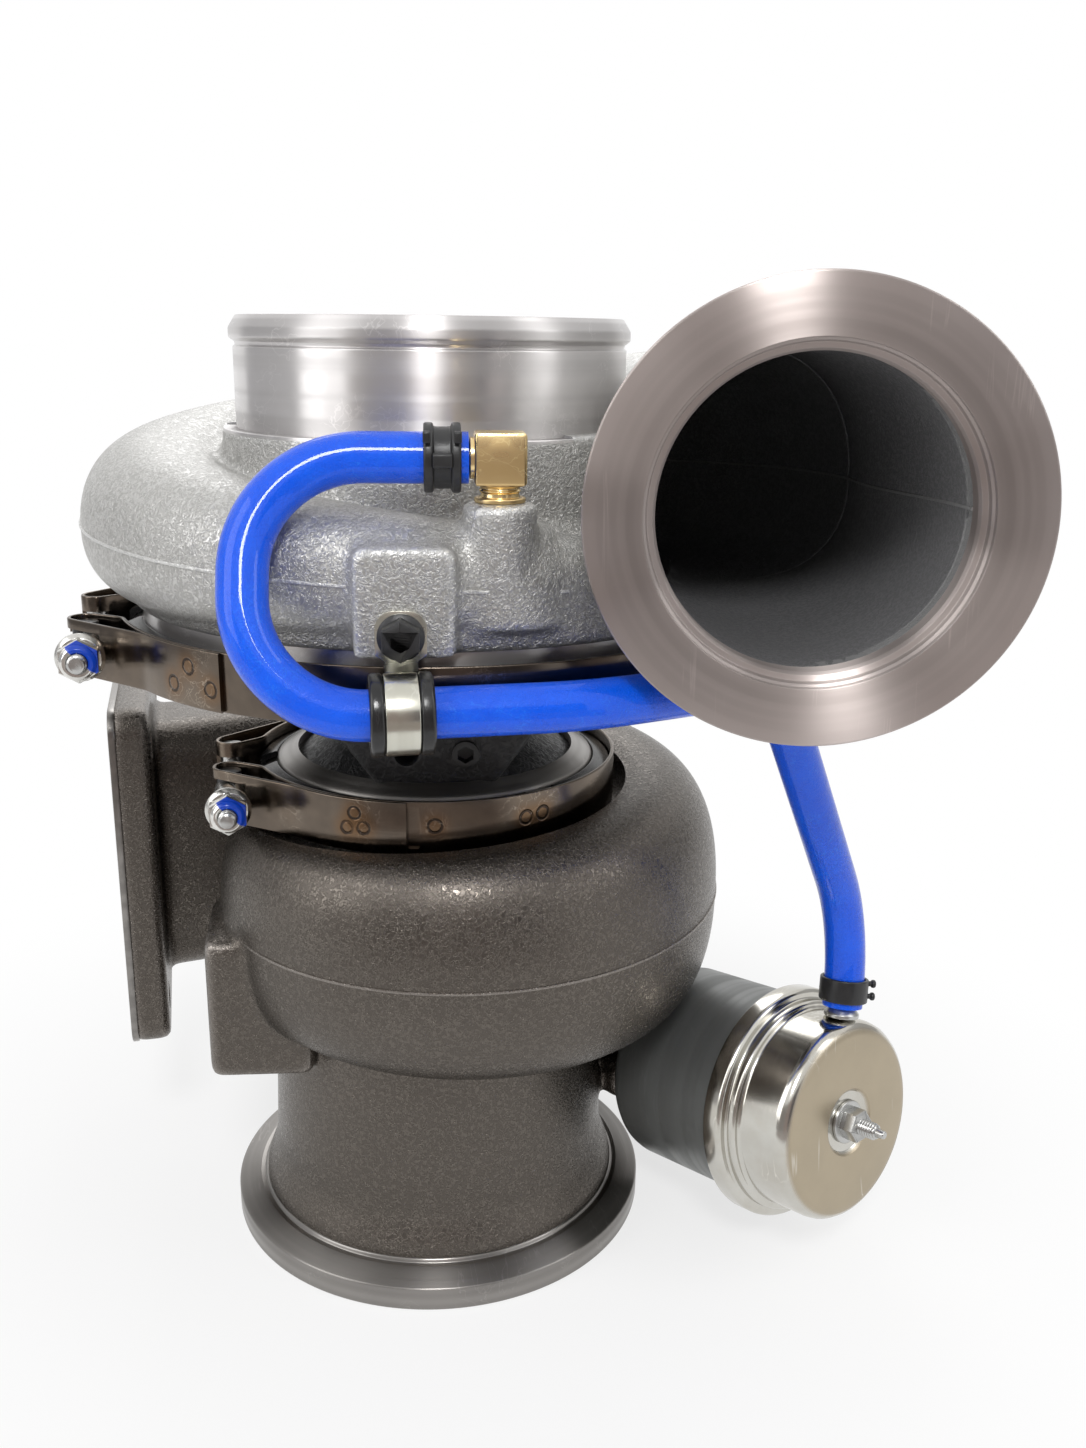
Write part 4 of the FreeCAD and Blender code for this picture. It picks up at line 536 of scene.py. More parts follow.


# %% [markdown]
# ## Materials
# Each finish names its own colours. The Principled shader holds every value that is the same
# all over; only colour, roughness and bump come from nodes.

# %% Material helpers
def finish(name, metallic, roughness, colour, **constants):
    """A new material with its shader's plain values; gives material, tree and shader."""
    material = bpy.data.materials.new(name)
    material.use_nodes = True
    tree = material.node_tree
    tree.nodes.clear()
    values = {"Metallic": metallic, "Roughness": roughness, "Base Color": (*colour, 1)}
    values.update({key.replace("_", " "): value for key, value in constants.items()})
    shader = add(tree, "ShaderNodeBsdfPrincipled", values)
    add(tree, "ShaderNodeOutputMaterial", {"Surface": shader.outputs[0]})
    return material, tree, shader


def use(tree, shared, **values):
    """Places a shared effect in a material with its own values."""
    node = tree.nodes.new("ShaderNodeGroup")
    node.node_tree = shared
    for key, value in values.items():
        node.inputs[key.replace("_", " ")].default_value = value
    return node


def mix(tree, mask, first, second):
    """Two colours, or colour sockets, mixed by a mask."""
    node = add(tree, "ShaderNodeMix", {0: mask}, data_type="RGBA")
    for index, colour in ((6, first), (7, second)):
        if isinstance(colour, bpy.types.NodeSocket):
            tree.links.new(colour, node.inputs[index])
        else:
            node.inputs[index].default_value = (*colour, 1)
    return node.outputs[2]


def tint(tree, mask, share, colour, other):
    """A colour with a share of another one laid over it where the mask is."""
    return mix(tree, math_node(tree, "MULTIPLY", mask, share), colour, other)


def bump(tree, shader, height, depth_mm):
    """Raises the surface by a height map, as deep as depth in millimetres."""
    node = add(tree, "ShaderNodeBump", {"Height": height, "Strength": 1.0, "Distance": depth_mm * MM})
    tree.links.new(node.outputs[0], shader.inputs["Normal"])


def turned_light(tree, shader):
    """Lets the shine run round local Z, as tool marks do."""
    along = add(tree, "ShaderNodeTangent", direction_type="RADIAL", axis="Z")
    tree.links.new(along.outputs[0], shader.inputs["Tangent"])


# %% Cast metals
def cast_metal(name, metallic, rough, dark, light, worn, grain, wrinkle, depth):
    """Sand cast skin: grain, stains, worn bright edges and painted shade that darkens the hollows."""
    material, tree, shader = finish(name, metallic, 0.5, light)
    sand = use(tree, sand_grain, Grain_per_Metre=grain, Wrinkle=wrinkle)
    cloud = use(tree, stains, Patches_per_Metre=28.0)
    wear_and_shade = use(tree, edge_wear_and_hollow_shade, Sharpness=0.05)
    colour = mix(tree, sand.outputs["Tone"], dark, light)
    colour = tint(tree, cloud.outputs["Mask"], 0.25, colour, dark)
    colour = tint(tree, wear_and_shade.outputs["Edge"], 0.7, colour, worn)
    # Painted shade: the hollows are darkened towards the dark tone, where shade would fall.
    colour = tint(tree, wear_and_shade.outputs["Painted Hollow Shade"], 0.5, colour, dark)
    tree.links.new(colour, shader.inputs["Base Color"])
    shine = ramp(tree, sand.outputs["Tone"], 0.0, 1.0, rough[1], rough[0])
    tree.links.new(shine, shader.inputs["Roughness"])
    bump(tree, shader, sand.outputs["Height"], depth)
    return material


cast_aluminium = cast_metal(
    "cast aluminium", 0.85, rough=(0.36, 0.48), dark=(0.43, 0.425, 0.41), light=(0.56, 0.555, 0.54),
    worn=(0.76, 0.76, 0.75), grain=640.0, wrinkle=1.4, depth=0.17)
# Painted shade: a darker, duller copy of the cast aluminium for the inside of the duct and the other hollows,
# where shade falls.
duct_aluminium_shaded = cast_metal(
    "cast aluminium, inside in painted shade", 0.3, rough=(0.6, 0.75), dark=(0.15, 0.15, 0.155), light=(0.20, 0.20, 0.205),
    worn=(0.3, 0.3, 0.3), grain=900.0, wrinkle=0.6, depth=0.12)
cast_iron = cast_metal(
    "cast iron", 0.95, rough=(0.25, 0.34), dark=(0.11, 0.097, 0.085), light=(0.145, 0.128, 0.112),
    worn=(0.34, 0.31, 0.285), grain=900.0, wrinkle=1.0, depth=0.07)
black_cast = cast_metal(
    "black painted casting", 0.0, rough=(0.35, 0.5), dark=(0.008, 0.008, 0.009), light=(0.018, 0.018, 0.019),
    worn=(0.06, 0.06, 0.06), grain=500.0, wrinkle=0.8, depth=0.12)
nickel_cast = cast_metal(
    "cast nickel alloy", 1.0, rough=(0.3, 0.45), dark=(0.16, 0.14, 0.12), light=(0.30, 0.27, 0.24),
    worn=(0.5, 0.47, 0.43), grain=900.0, wrinkle=0.5, depth=0.06)


# %% Machined and plated metals
def machined_metal(
        name, colour, dull, rough, anisotropic, rings=2500.0, depth=0.004, scratch=0.5, metallic=1.0):
    """Turned metal: rings round its own axis, a streak of light across them, a few scratches."""
    material, tree, shader = finish(
        name, metallic, rough, colour, Anisotropic=anisotropic, Anisotropic_Rotation=0.25)
    turned_light(tree, shader)
    rings = use(tree, turned_rings, Rings_per_Metre=rings)
    lines = use(tree, scratches, Lines_per_Metre=70.0, Share=scratch)
    cloud = use(tree, stains, Patches_per_Metre=35.0)
    base = tint(tree, rings.outputs["Tone"], 0.45, colour, dull)
    base = tint(tree, cloud.outputs["Mask"], 0.2, base, dull)
    base = mix(tree, lines.outputs["Mask"], base, [min(1, c * 1.25) for c in colour])
    tree.links.new(base, shader.inputs["Base Color"])
    shine = ramp(tree, rings.outputs["Tone"], 0.0, 1.0, rough, rough * 1.35)
    tree.links.new(shine, shader.inputs["Roughness"])
    height = math_node(tree, "SUBTRACT", rings.outputs["Height"], lines.outputs["Mask"])
    bump(tree, shader, height, depth)
    return material


bright_turned = machined_metal(
    "turned aluminium", (0.66, 0.64, 0.635), (0.48, 0.465, 0.46), 0.30, anisotropic=0.92)
# Painted shade: the flange is drawn as a darker, browner copy of the turned aluminium, standing in for the dim
# reflection it shows.
flange_turned_shaded = machined_metal(
    "turned aluminium, flange in painted shade", (0.52, 0.465, 0.445), (0.38, 0.33, 0.31), 0.36, anisotropic=1.0)
dark_turned = machined_metal(
    "turned iron", (0.30, 0.285, 0.27), (0.19, 0.18, 0.17), 0.28, anisotropic=0.85, depth=0.006)
steel = machined_metal("machined steel", (0.55, 0.55, 0.54), (0.38, 0.38, 0.37), 0.25, anisotropic=0.4)
bronze = machined_metal("bearing bronze", (0.62, 0.42, 0.2), (0.45, 0.28, 0.12), 0.3, anisotropic=0.4)
milled = machined_metal("milled aluminium", (0.78, 0.78, 0.78), (0.6, 0.6, 0.6), 0.22, anisotropic=0.3)
zinc = machined_metal(
    "zinc plate", (0.62, 0.61, 0.54), (0.50, 0.49, 0.42), 0.22, anisotropic=0.3, rings=900.0, depth=0.003,
    scratch=0.35)
can_grey = machined_metal(
    "grey drawn steel", (0.20, 0.205, 0.20), (0.15, 0.155, 0.15), 0.42, anisotropic=0.2, rings=900.0,
    depth=0.003, scratch=0.4, metallic=0.6)
brass = machined_metal(
    "brass", (0.86, 0.67, 0.36), (0.66, 0.46, 0.2), 0.24, anisotropic=0.2, rings=1500.0, scratch=0.7)


# %% Paints, rubber and hose
def coated(name, colour, light, roughness, depth, **constants):
    """Paint or rubber: a quiet mottling, a little orange peel and a few light scuffs."""
    material, tree, shader = finish(name, 0.0, roughness, colour, **constants)
    cloud = use(tree, stains, Patches_per_Metre=90.0)
    sand = use(tree, sand_grain, Grain_per_Metre=1400.0, Wrinkle=0.3)
    lines = use(tree, scratches, Lines_per_Metre=110.0, Share=0.5)
    base = tint(tree, cloud.outputs["Mask"], 0.5, colour, light)
    base = tint(tree, lines.outputs["Mask"], 0.4, base, [min(1, c * 2.5 + 0.03) for c in light])
    tree.links.new(base, shader.inputs["Base Color"])
    shine = ramp(tree, cloud.outputs["Mask"], 0, 1, roughness * 0.85, roughness * 1.2)
    tree.links.new(shine, shader.inputs["Roughness"])
    bump(tree, shader, sand.outputs["Height"], depth)
    return material


black_gloss = coated("black gloss coat", (0.008, 0.008, 0.009), (0.02, 0.02, 0.02), 0.22, depth=0.006)
black_satin = coated("black satin coat", (0.012, 0.012, 0.013), (0.03, 0.03, 0.03), 0.38, depth=0.012)
rubber = coated("black rubber", (0.010, 0.010, 0.011), (0.022, 0.022, 0.022), 0.5, depth=0.03)
blue_hose = coated(
    "blue silicone", (0.0002, 0.085, 0.74), (0.0004, 0.12, 0.88), 0.32, depth=0.09,
    Coat_Weight=0.6, Coat_Roughness=0.05, Specular_IOR_Level=0.15)


# %% Drill
def drill(radius, start, end):
    """A round cutter between two points."""
    way = end - start
    turn = SIDE if abs(way.normalized().z) > 0.9 else UP
    corners = box(0, 0, radius, way.length)
    return lathe("drill", corners, stand(start, way, turn), 48)


# %% [markdown]
# ## Compressor casting
# The scroll grows from almost nothing to the size of the outlet in one turn, then leaves as a
# straight duct. Its sections follow simple growth laws, so the skin is drawn straight from
# them at a fine step and shows no facets.

# %% Compressor forms
SKIRT_Z = 231.7
COMPRESSOR_WALL = 4.0
SEAM_DEPTH, SEAM_RISE = 1.5, 2.0


def put_on(piece, material, slot, *stands_for):
    """Gives a new piece its finish, the fixed body and the solids it stands for. Its slot argument is not used.
    """
    piece.data.materials.clear()
    piece.data.materials.append(material)
    if stands_for:
        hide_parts(*stands_for)
    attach(piece, "housings")
    return piece


def compressor_size(u):
    """Inner and outer radius, floor, roof and middle height at a share u of the turn."""
    outer = 95.5 + 47.0 * u
    height = 26.0 + 60.0 * u ** 0.9
    low = SKIRT_Z + 1.0
    return outer - 2 * (11.0 + 31.5 * u ** 0.75), outer, low, low + height - 1.0, low + 0.43 * height


def compressor_heading(u):
    """The way out from the shaft at a share u of the turn."""
    return heading(-58.0 - 319.5 * u)


def duct_size(share):
    """Middle, half width, depth below and height above at a share of the outlet duct."""
    inner, outer, low, high, middle = compressor_size(1.0)
    ease = share * share * (3 - 2 * share)
    centre = DISCHARGE_SIDE * ((inner + outer) / 2 * (1 - ease) + OUTLET_SIDE * ease)
    centre += DISCHARGE * (OUTLET_OUT * share) + UP * (middle * (1 - ease) + OUTLET_Z * ease)
    half, down, rise = [
        size * (1 - ease) + OUTLET_R * ease for size in ((outer - inner) / 2, middle - low, high - middle)]
    return centre, half, down, rise, ease


def compressor_forms(inset, first):
    """The scroll and its outlet duct, drawn in by inset."""
    scroll = []
    for i in range(121):
        u = first + (1 - first) * i / 120
        inner, outer, low, high, middle = compressor_size(u)
        out = compressor_heading(u)
        centre = out * ((inner + outer) / 2) + UP * middle
        half = (outer - inner) / 2 - inset
        scroll.append(oval(centre, out, UP, half, middle - low - inset, high - middle - inset, 2.3))
    duct = []
    for i in range(31):
        centre, half, down, rise, ease = duct_size(-0.03 + 1.01 * i / 30)
        power = 2.3 * (1 - ease) + 2.0 * ease
        duct.append(oval(centre, DISCHARGE_SIDE, UP, half - inset, down - inset, rise - inset, power))
    return [skin("scroll", scroll), skin("duct", duct)]


# %% Compressor casting
ELBOW_Z = 284.1
ELBOW = front_point(18.0, 90.0, ELBOW_Z)
PAD_OUT = 104.46
CLIP_SIDE, CLIP_Z = -9.0, 219.96
CLIP_BOLT_Z = CLIP_Z + 18.5
ON_FRONT = stand(ORIGIN, FRONT, SIDE)
forms = compressor_forms(0.0, 0.0)
forms.append(lathe("core", [
    (0, SKIRT_Z), (98.4, SKIRT_Z), (98.4, SKIRT_Z + 8, 3), (81.8, SKIRT_Z + 20, 8), (68.8, SKIRT_Z + 30, 8),
    (67.8, 287.4, 0.6), (0, 287.4),
]))
forms.append(slab("pad", [
    (-22, SKIRT_Z), (6, SKIRT_Z), (6, SKIRT_Z + 30.5, 4), (-22, SKIRT_Z + 30.5, 4),
], 78, PAD_OUT, ON_FRONT, bevel=1.0))
boss_place = stand(front_point(18, 90, 0), UP, SIDE)
shoulder_place = stand(front_point(19, 79, 0), UP, SIDE)
forms.append(lathe("boss", [(0, 249), (10.2, 249), (10.2, 272.4, 0.8), (0, 272.4)], boss_place))
forms.append(lathe("shoulder", [(0, 238), (21.5, 238), (20.5, 252, 8), (14, 265, 8), (0, 268)], shoulder_place))
forms.append(lathe("outlet neck", box(0, -30, 45.4, -7.5), ON_DISCHARGE))
casting = melt("compressor_casting", forms, 1.3, 14)
hollows = compressor_forms(COMPRESSOR_WALL, 0.025)
hollows.append(lathe("bore", [
    (0, 220), (91, 220), (91, 231.4), (80.1, 231.4), (80.1, 244.3), (71.1, 244.3), (60.2, 262), (61.2, 284),
    (61.2, 330), (0, 330),
]))
hollows.append(lathe("mouth", [(0, -16), (41.0, -16), (41.6, -7), (41.6, 5), (0, 5)], ON_DISCHARGE))
COLLAR_FROM, COLLAR_SPAN = -190.0, 128.0
hollows.append(lathe("collar face", box(60, 286.2, 80, 330), start=COLLAR_FROM, span=COLLAR_SPAN))
hollows.append(lathe("flange face", box(0, -9, 75, 8), ON_DISCHARGE))
for part in [casting] + hollows:
    part.data.materials.append(cast_aluminium)
    part.data.materials.append(duct_aluminium_shaded)
# The cut faces of the hollows take the darker copy, as painted shade.
for hollow in hollows:
    hollow.data.polygons.foreach_set("material_index", [1] * len(hollow.data.polygons))
carve(casting, hollows)
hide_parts("compressor_housing")
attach(casting, "housings")

# The mould's two halves meet at mid height and leave a thin raised line.
seam_path = []
for i in range(15, 240):
    inner, outer, low, high, middle = compressor_size(i / 240)
    seam_path.append(compressor_heading(i / 240) * (outer - SEAM_DEPTH) + UP * (middle + SEAM_RISE))
SEAM_SECTION = rounded(box(-1.9, -0.45, 1.9, 0.45, 0.2), 2)
seam = skin("compressor_parting_line", carried(seam_path, SEAM_SECTION, UP))
put_on(seam, cast_aluminium, "compressor_casting")

# Inside, the same line runs along both walls of the duct.
inner_lines = {"far": [], "near": []}
for i in range(24):
    u = 0.80 + 0.195 * i / 23
    inner, outer, low, high, middle = compressor_size(u)
    wall_r = outer - COMPRESSOR_WALL + SEAM_DEPTH
    inner_lines["far"].append(compressor_heading(u) * wall_r + UP * (middle + SEAM_RISE))
for name, side in (("far", 1), ("near", -1)):
    for i in range(28):
        centre, half, down, rise, ease = duct_size(0.02 + 0.87 * i / 27)
        across = side * (half - COMPRESSOR_WALL + SEAM_DEPTH)
        inner_lines[name].append(centre + DISCHARGE_SIDE * across + UP * SEAM_RISE)
for name, line in inner_lines.items():
    seam = skin("duct_parting_line_" + name, carried(line, SEAM_SECTION, UP))
    # The inside parting lines take the darker copy too, as painted shade.
    put_on(seam, duct_aluminium_shaded, "compressor_casting")

# %% [markdown]
# ## Turned faces of the compressor
# After casting, the inlet, the wheel's bore, the clamp rim and the outlet flange go on a
# lathe. They are separate skins here, set a hair into the casting, so that the line where
# the tool stopped stays sharp. The wheel's contour follows the same quarter oval as the solid.

# %% Compressor turned faces
def contour(axial, radial):
    """Points on the wheel's flow path, from across the shaft to along it."""
    points = []
    for i in range(11):
        a = math.radians(90 * (1 - i / 10))
        r = radial[0] - (radial[0] - axial[0]) * math.cos(a)
        points.append((r, axial[1] + (radial[1] - axial[1]) * math.sin(a)))
    return points


wheel_path = contour((47.05, 263.9), (56.45, 237.3))
put_on(lathe("inlet_tube", [
    (80.1, 237.3), (80.1, 243), (71.5, 245), (60.8, 262), (61.8, 286), (63.5, 286),
    (63.5, 311.4, 0.5), (62.7, 312.0, 0.3), (63.0, 313.0, 0.3), (64.7, 314.2, 1), (64.7, 317.2, 1.6),
    (62.3, 321, 0.6), (60.5, 321, 0.5), (58, 307, 2), (58, 287.9, 2), (47.05, 268.9, 2), *wheel_path[::-1],
], segments=192), bright_turned, "compressor_casting")
put_on(lathe("inlet_collar", [
    (62, 285.4), (67.7, 285.4), (67.7, 286.6, 0.4), (62, 286.6),
], start=COLLAR_FROM, span=COLLAR_SPAN), bright_turned, "compressor_casting")
put_on(lathe("compressor_rim", [
    (91, 221), (100, 221, 0.3), (100, 224, 0.3), (96, 225.46), (96, 232.6), (91, 232.6),
], segments=192), bright_turned, "compressor_casting")
put_on(lathe("discharge_flange", [
    (44.3, 0, 0.3), (60, 0, 0.6), (60, -3.0, 0.4), (50, -6.6, 1), (46.5, -9.0, 1), (45.5, -12), (41.2, -12),
    (41.0, -6.0, 0.4), (41.7, -4.6, 0.4), (43.2, -4.2, 0.3), (43.5, -2.4, 0.6), (44.3, -1.8, 0.3),
], ON_DISCHARGE, segments=192), flange_turned_shaded, "compressor_casting")

# %% [markdown]
# ## Turbine casting
# The turbine housing is iron, darker and coarser. Its scroll is widest where the runner from
# the square inlet flange joins it and shrinks as it goes round. The valve chamber and the
# bypass for the wastegate grow out of its side, all in the same pour.

# %% Turbine forms
TURBINE_MID_Z = 122.5


TURBINE_WALL = 5.0
INLET_FLANGE = box(21, 57.5, 129, 187.5, 9)


def turbine_size(u):
    """Inner and outer radius, floor and roof at a share u of the shrinking turn."""
    return 50.0, 117.5 - 51.5 * u, 72.0 + 26.0 * u, 175.5 - 24.0 * u


def turbine_heading(u):
    """The way out from the shaft at a share u of the shrinking turn."""
    return heading(90.0 - 340.0 * u)


def turbine_forms(inset):
    """The shrinking scroll and the runner that feeds it, drawn in by inset."""
    scroll = []
    for i in range(121):
        inner, outer, low, high = turbine_size(i / 120)
        out = turbine_heading(i / 120)
        middle = (low + high) / 2
        centre = out * ((inner + outer) / 2) + UP * middle
        half, tall = (outer - inner) / 2 - inset, (high - low) / 2 - inset
        scroll.append(oval(centre, out, UP, half, tall, tall, 2.4))
    inner, outer, low, high = turbine_size(0)
    wall = 0 if inset else 7
    across = Vector((0, 1, 0))
    start = Vector((-113 if inset else -110, 75, TURBINE_MID_Z))
    end = Vector((0, (inner + outer) / 2, (low + high) / 2))
    first = oval(start, across, UP, 21 + wall, 43 + wall, 43 + wall, 6.0)
    half, tall = (outer - inner) / 2 - inset, (high - low) / 2 - inset
    last = oval(end, across, UP, half, tall, tall, 2.4)
    runner = [[a.lerp(b, k / 20) for a, b in zip(first, last)] for k in range(21)]
    return [skin("scroll", scroll), skin("runner", runner)]


def actuator_point(s, across=0.0):
    """A point along the actuator's axis from its rim, outward positive."""
    return ACTUATOR_RIM + ACTUATOR_AXIS * s + ACROSS * across


def inlet_bolt_holes():
    """Cutters for the four bolt holes of the inlet flange."""
    places = [Vector((-125, 75 + y, TURBINE_MID_Z + z)) for y in (-41, 41) for z in (-50, 50)]
    return [drill(5.25, place, place + Vector((42, 0, 0))) for place in places]


def keep_walls(hollow):
    """Leaves the wall between the two passages and the wall under the clamp's pocket."""
    divider = lathe("divider", box(61, 120, 160, 125))
    pocket_wall = lathe("pocket wall", box(0, 152, 72.5, 190))
    return carve(hollow, [divider, pocket_wall])


# %% Turbine casting
ON_INLET = stand(ORIGIN, Vector((1, 0, 0)), Vector((0, 1, 0)))
foot = actuator_point(-124)
on_bypass = stand(Vector((foot.x, foot.y, 0)), UP, SIDE)
forms = turbine_forms(0.0)
forms.append(lathe("neck", [
    (0, 8), (65.5, 8), (65.5, 14.5, 1), (61.3, 25, 14), (58.8, 92.5, 2), (57.5, 102.5), (57.5, 154), (0, 154),
]))
forms.append(slab("inlet flange", INLET_FLANGE, -111, -98, ON_INLET, bevel=1.5))
forms.append(slab("block", [(-84, -37, 3), (-50, -43, 3), (-45, -5), (-80, 2, 3)], 75.5, 124.5, bevel=1.5))
forms.append(lathe("chamber", [(0, -124), (22, -124), (22, -57, 1), (0, -57)], ON_ACTUATOR))
forms.append(lathe("bypass", [(0, 15), (21, 15, 4), (21, 88.5), (0, 88.5)], on_bypass))
forms.append(slab("ears", box(-33.5, -7, 33.5, 7, 6), -64, -56.3, ON_ACTUATOR))
casting = melt("turbine_casting", forms, 1.4, 14)
casting.data.materials.append(cast_iron)
hollows = [keep_walls(form) for form in turbine_forms(TURBINE_WALL)]
hollows.append(lathe("pocket", box(0, 157, 67.5, 200)))
hollows.append(lathe("bore", [
    (0, -1), (55.2, -1), (55.2, 30), (44.2, 85), (44.2, 95), (50.2, 113), (60, 113.5), (60, 131), (52.5, 132),
    (52.5, 170), (0, 170),
]))
hollows.append(lathe("valve room", [
    (0, -124), (15, -124), (15, -113), (12.5, -113), (12.5, -108), (16, -108), (16, -80), (7.9, -80), (7.9, -55),
    (0, -55),
], ON_ACTUATOR))
hollows.append(lathe("bypass bore", box(0, 20, 16, 92.5), on_bypass))
middle = actuator_point(-94)
inward = Vector((-middle.x, -middle.y, 0)).normalized()
hollows.append(drill(12.0, middle, middle + inward * 36))
hollows += [drill(3.05, actuator_point(-66, side), actuator_point(-55, side)) for side in (-26.5, 26.5)]
hollows += inlet_bolt_holes()
carve(casting, hollows)
put_on(casting, cast_iron, "turbine_casting", "turbine_housing")

# %% Turbine parting line
seam_path = []
for i in range(200):
    inner, outer, low, high = turbine_size(i / 240)
    seam_path.append(turbine_heading(i / 240) * (outer - 1.6) + UP * (low + high) / 2)
put_on(skin("turbine_parting_line", carried(seam_path, SEAM_SECTION, UP)), cast_iron, "turbine_casting")

# %% [markdown]
# The exhaust flange, the clamp rim, the wheel's shroud and the face of the inlet flange are
# machined from the same iron, so they share its dark colour but carry tool marks.

# %% Turbine turned faces
put_on(lathe("exhaust_flange", [
    (54.5, 0), (76.1, 0, 0.8), (76.1, 8.4, 0.8), (68.1, 11.2, 0.6), (66.4, 11.2, 0.5), (66.0, 12.6, 0.8),
    (60, 12.6), (54.5, 30),
], segments=192), dark_turned, "turbine_casting")
put_on(lathe("turbine_rim", [
    (51.5, 134.5), (56.5, 134.5), (55.2, 156), (55.2, 163.54), (59.2, 165, 0.3), (59.2, 168, 0.3), (51.5, 168),
], segments=160), dark_turned, "turbine_casting")
shroud_path = contour((43.45, 95), (49.45, 114))
put_on(lathe("turbine_shroud", [
    (54.5, 29), (56, 29), (46, 86), (46, 96), (51.5, 114.5), (59, 114.5), (59, 114), *shroud_path, (43.45, 85),
], segments=160), dark_turned, "turbine_casting")

inlet_face = slab("inlet_flange_face", INLET_FLANGE, -112, -109.5, ON_INLET, bevel=0.5)
scroll_form, ports = turbine_forms(TURBINE_WALL)
bpy.data.objects.remove(scroll_form)
carve(inlet_face, [keep_walls(ports)] + inlet_bolt_holes())
put_on(inlet_face, dark_turned, "turbine_casting")

# %% [markdown]
# ## Bearing housing
# The middle housing is cast as well, then painted black. The oil feed enters at the front pad
# and leaves through the drain pad at the back. Every hole is a cutter between two points.

# %% Bearing casting
ON_BACK = stand(ORIGIN, -FRONT, -SIDE)
forms = [lathe("body", [
    (0, 148), (30, 148, 2), (36, 159, 3), (44, 163.5), (51, 163.5), (51, 173), (38, 182, 6), (33, 187, 5),
    (33, 195, 6), (44, 204, 3), (62, 204, 1.5), (62, 211.8), (0, 211.8),
])]
forms.append(slab("feed pad", [
    (-17.5, 174.5, 2), (17.5, 174.5, 2), (31, 192.5, 3), (31, 205), (-31, 205), (-31, 192.5, 3),
], 18, 46, ON_FRONT, bevel=1.0))
forms.append(slab("drain pad", [
    (-26, 178.5, 6), (26, 178.5, 6), (26, 205), (-26, 205),
], 18, 46, ON_BACK, bevel=1.0))
bearing_casting = melt("bearing_casting", forms, 0.9, 6)
hollows = [lathe("bore", [
    (0, 146), (10.5, 146), (10.5, 162.7), (13, 162.7), (13, 199.8), (15, 199.8), (15, 203), (28.2, 203),
    (28.2, 213), (0, 213),
])]
hollows.append(lathe("oil room", [(17, 163, 1), (26, 163, 3), (26, 197, 3), (17, 197, 1)]))
hollows.append(drill(4.0, front_point(-9.4, 48, 187), front_point(-9.4, 22, 187)))
hollows.append(drill(4.45, front_point(9.4, 48, 187), front_point(9.4, 37, 187)))
hollows.append(drill(9.0, front_point(0, -48, 191), front_point(0, -22, 191)))
for side in (-19, 19):
    hollows.append(drill(3.4, front_point(side, -48, 191), front_point(side, -32, 191)))
for turn in range(4):
    foot = heading(-55 + 90 * turn) * 52
    hollows.append(drill(3.05, foot + UP * 202, foot + UP * 213))
    hollows.append(drill(6.5, foot + UP * 197, foot + UP * 204))
carve(bearing_casting, hollows)
put_on(bearing_casting, black_cast, "bearing_casting", "bearing_housing")
put_on(lathe("bearing_rim", [
    (48, 163.2), (51.3, 163.2), (51.3, 168), (59.2, 168, 0.3), (59.2, 171, 0.3), (55.2, 172.46),
    (55.2, 175, 1.5), (48, 178),
], segments=160), dark_turned, "bearing_casting")

# %% [markdown]
# ## Band clamps
# Each clamp is one strip of tempered stainless: it lies round the retainers, leaves the
# circle, wraps a barrel, and comes back onto itself where it is spot welded. Drawing it as a
# single swept line keeps those folds honest. The T-bolt has a real thread.

# %% Lines and sweeps
def even(points, step):
    """The same line with its points an even step apart."""
    line = [points[0].copy()]
    at = step
    for a, b in zip(points, points[1:]):
        length = (b - a).length
        while at < length:
            line.append(a.lerp(b, at / length))
            at += step
        at -= length
    line.append(points[-1].copy())
    return line


def eased(points, rounds):
    """Softens the corners of an open line and keeps its ends."""
    for _ in range(rounds):
        middle = [(a + b * 2 + c) / 4 for a, b, c in zip(points, points[1:], points[2:])]
        points = [points[0]] + middle + [points[-1]]
    return points


def arc(radius, start, end):
    """Points about the shaft from one angle to another, about 1.5 degrees apart."""
    count = max(2, round(abs(end - start) / 1.5))
    return [heading(start + (end - start) * i / count) * radius for i in range(count + 1)]


def threaded(name, radius, length, pitch, place, depth=0.55):
    """A rod with a real screw thread and bevelled ends."""
    around, steps = 24, 8
    rings = []
    for k in range(round(length / pitch * steps) + 1):
        z = k * pitch / steps
        end = max(0.0, 1.2 - min(z, length - z)) * 0.6
        ring = []
        for i in range(around):
            share = (k / steps - i / around) % 1.0
            tooth = depth * min(1.0, 1.35 * abs(2 * share - 1))
            ring.append(heading(360 * i / around) * (radius - min(depth, depth - tooth) - end) + UP * z)
        rings.append(ring)
    return skin(name, rings, place, sharp=50)


# %% Clamp pieces
LOOP_R = 5.0


def tangent_spot(foot, centre, turn):
    """Where a straight line from a foot touches the loop, on the side given by turn."""
    way = centre - foot
    lean = turn * math.asin(LOOP_R / way.length)
    length = math.sqrt(way.length ** 2 - LOOP_R ** 2)
    return foot + Matrix.Rotation(lean, 3, "Z") @ way.normalized() * length


def band_end(size, side):
    """One end of the band's line, from the main circle over the loop and back onto the band."""
    radius = size["vee_r"] + 2.6
    loop = Vector((size["line"], side * size["reach"], 0))
    inner_foot = heading(side * size["gap"]) * (radius + 0.6)
    outer_foot = heading(side * size["leave"]) * (radius + 1.85)
    arms = [tangent_spot(inner_foot, loop, -side) - loop, tangent_spot(outer_foot, loop, side) - loop]
    first, last = [math.degrees(math.atan2(arm.y, arm.x)) for arm in arms]
    turn = side * ((side * (last - first)) % 360)
    around = [loop + heading(first + turn * i / 24) * LOOP_R for i in range(25)]
    return [inner_foot] + around + arc(radius + 1.85, side * size["leave"], side * size["ends"][side > 0])


def hexagon_ring(across_flats):
    """Corners of a hexagon with one flat on +Y, each a little rounded."""
    far = across_flats / 2 / math.cos(math.radians(30))
    return [(*(heading(60 * i).xy * far), 0.4) for i in range(6)]


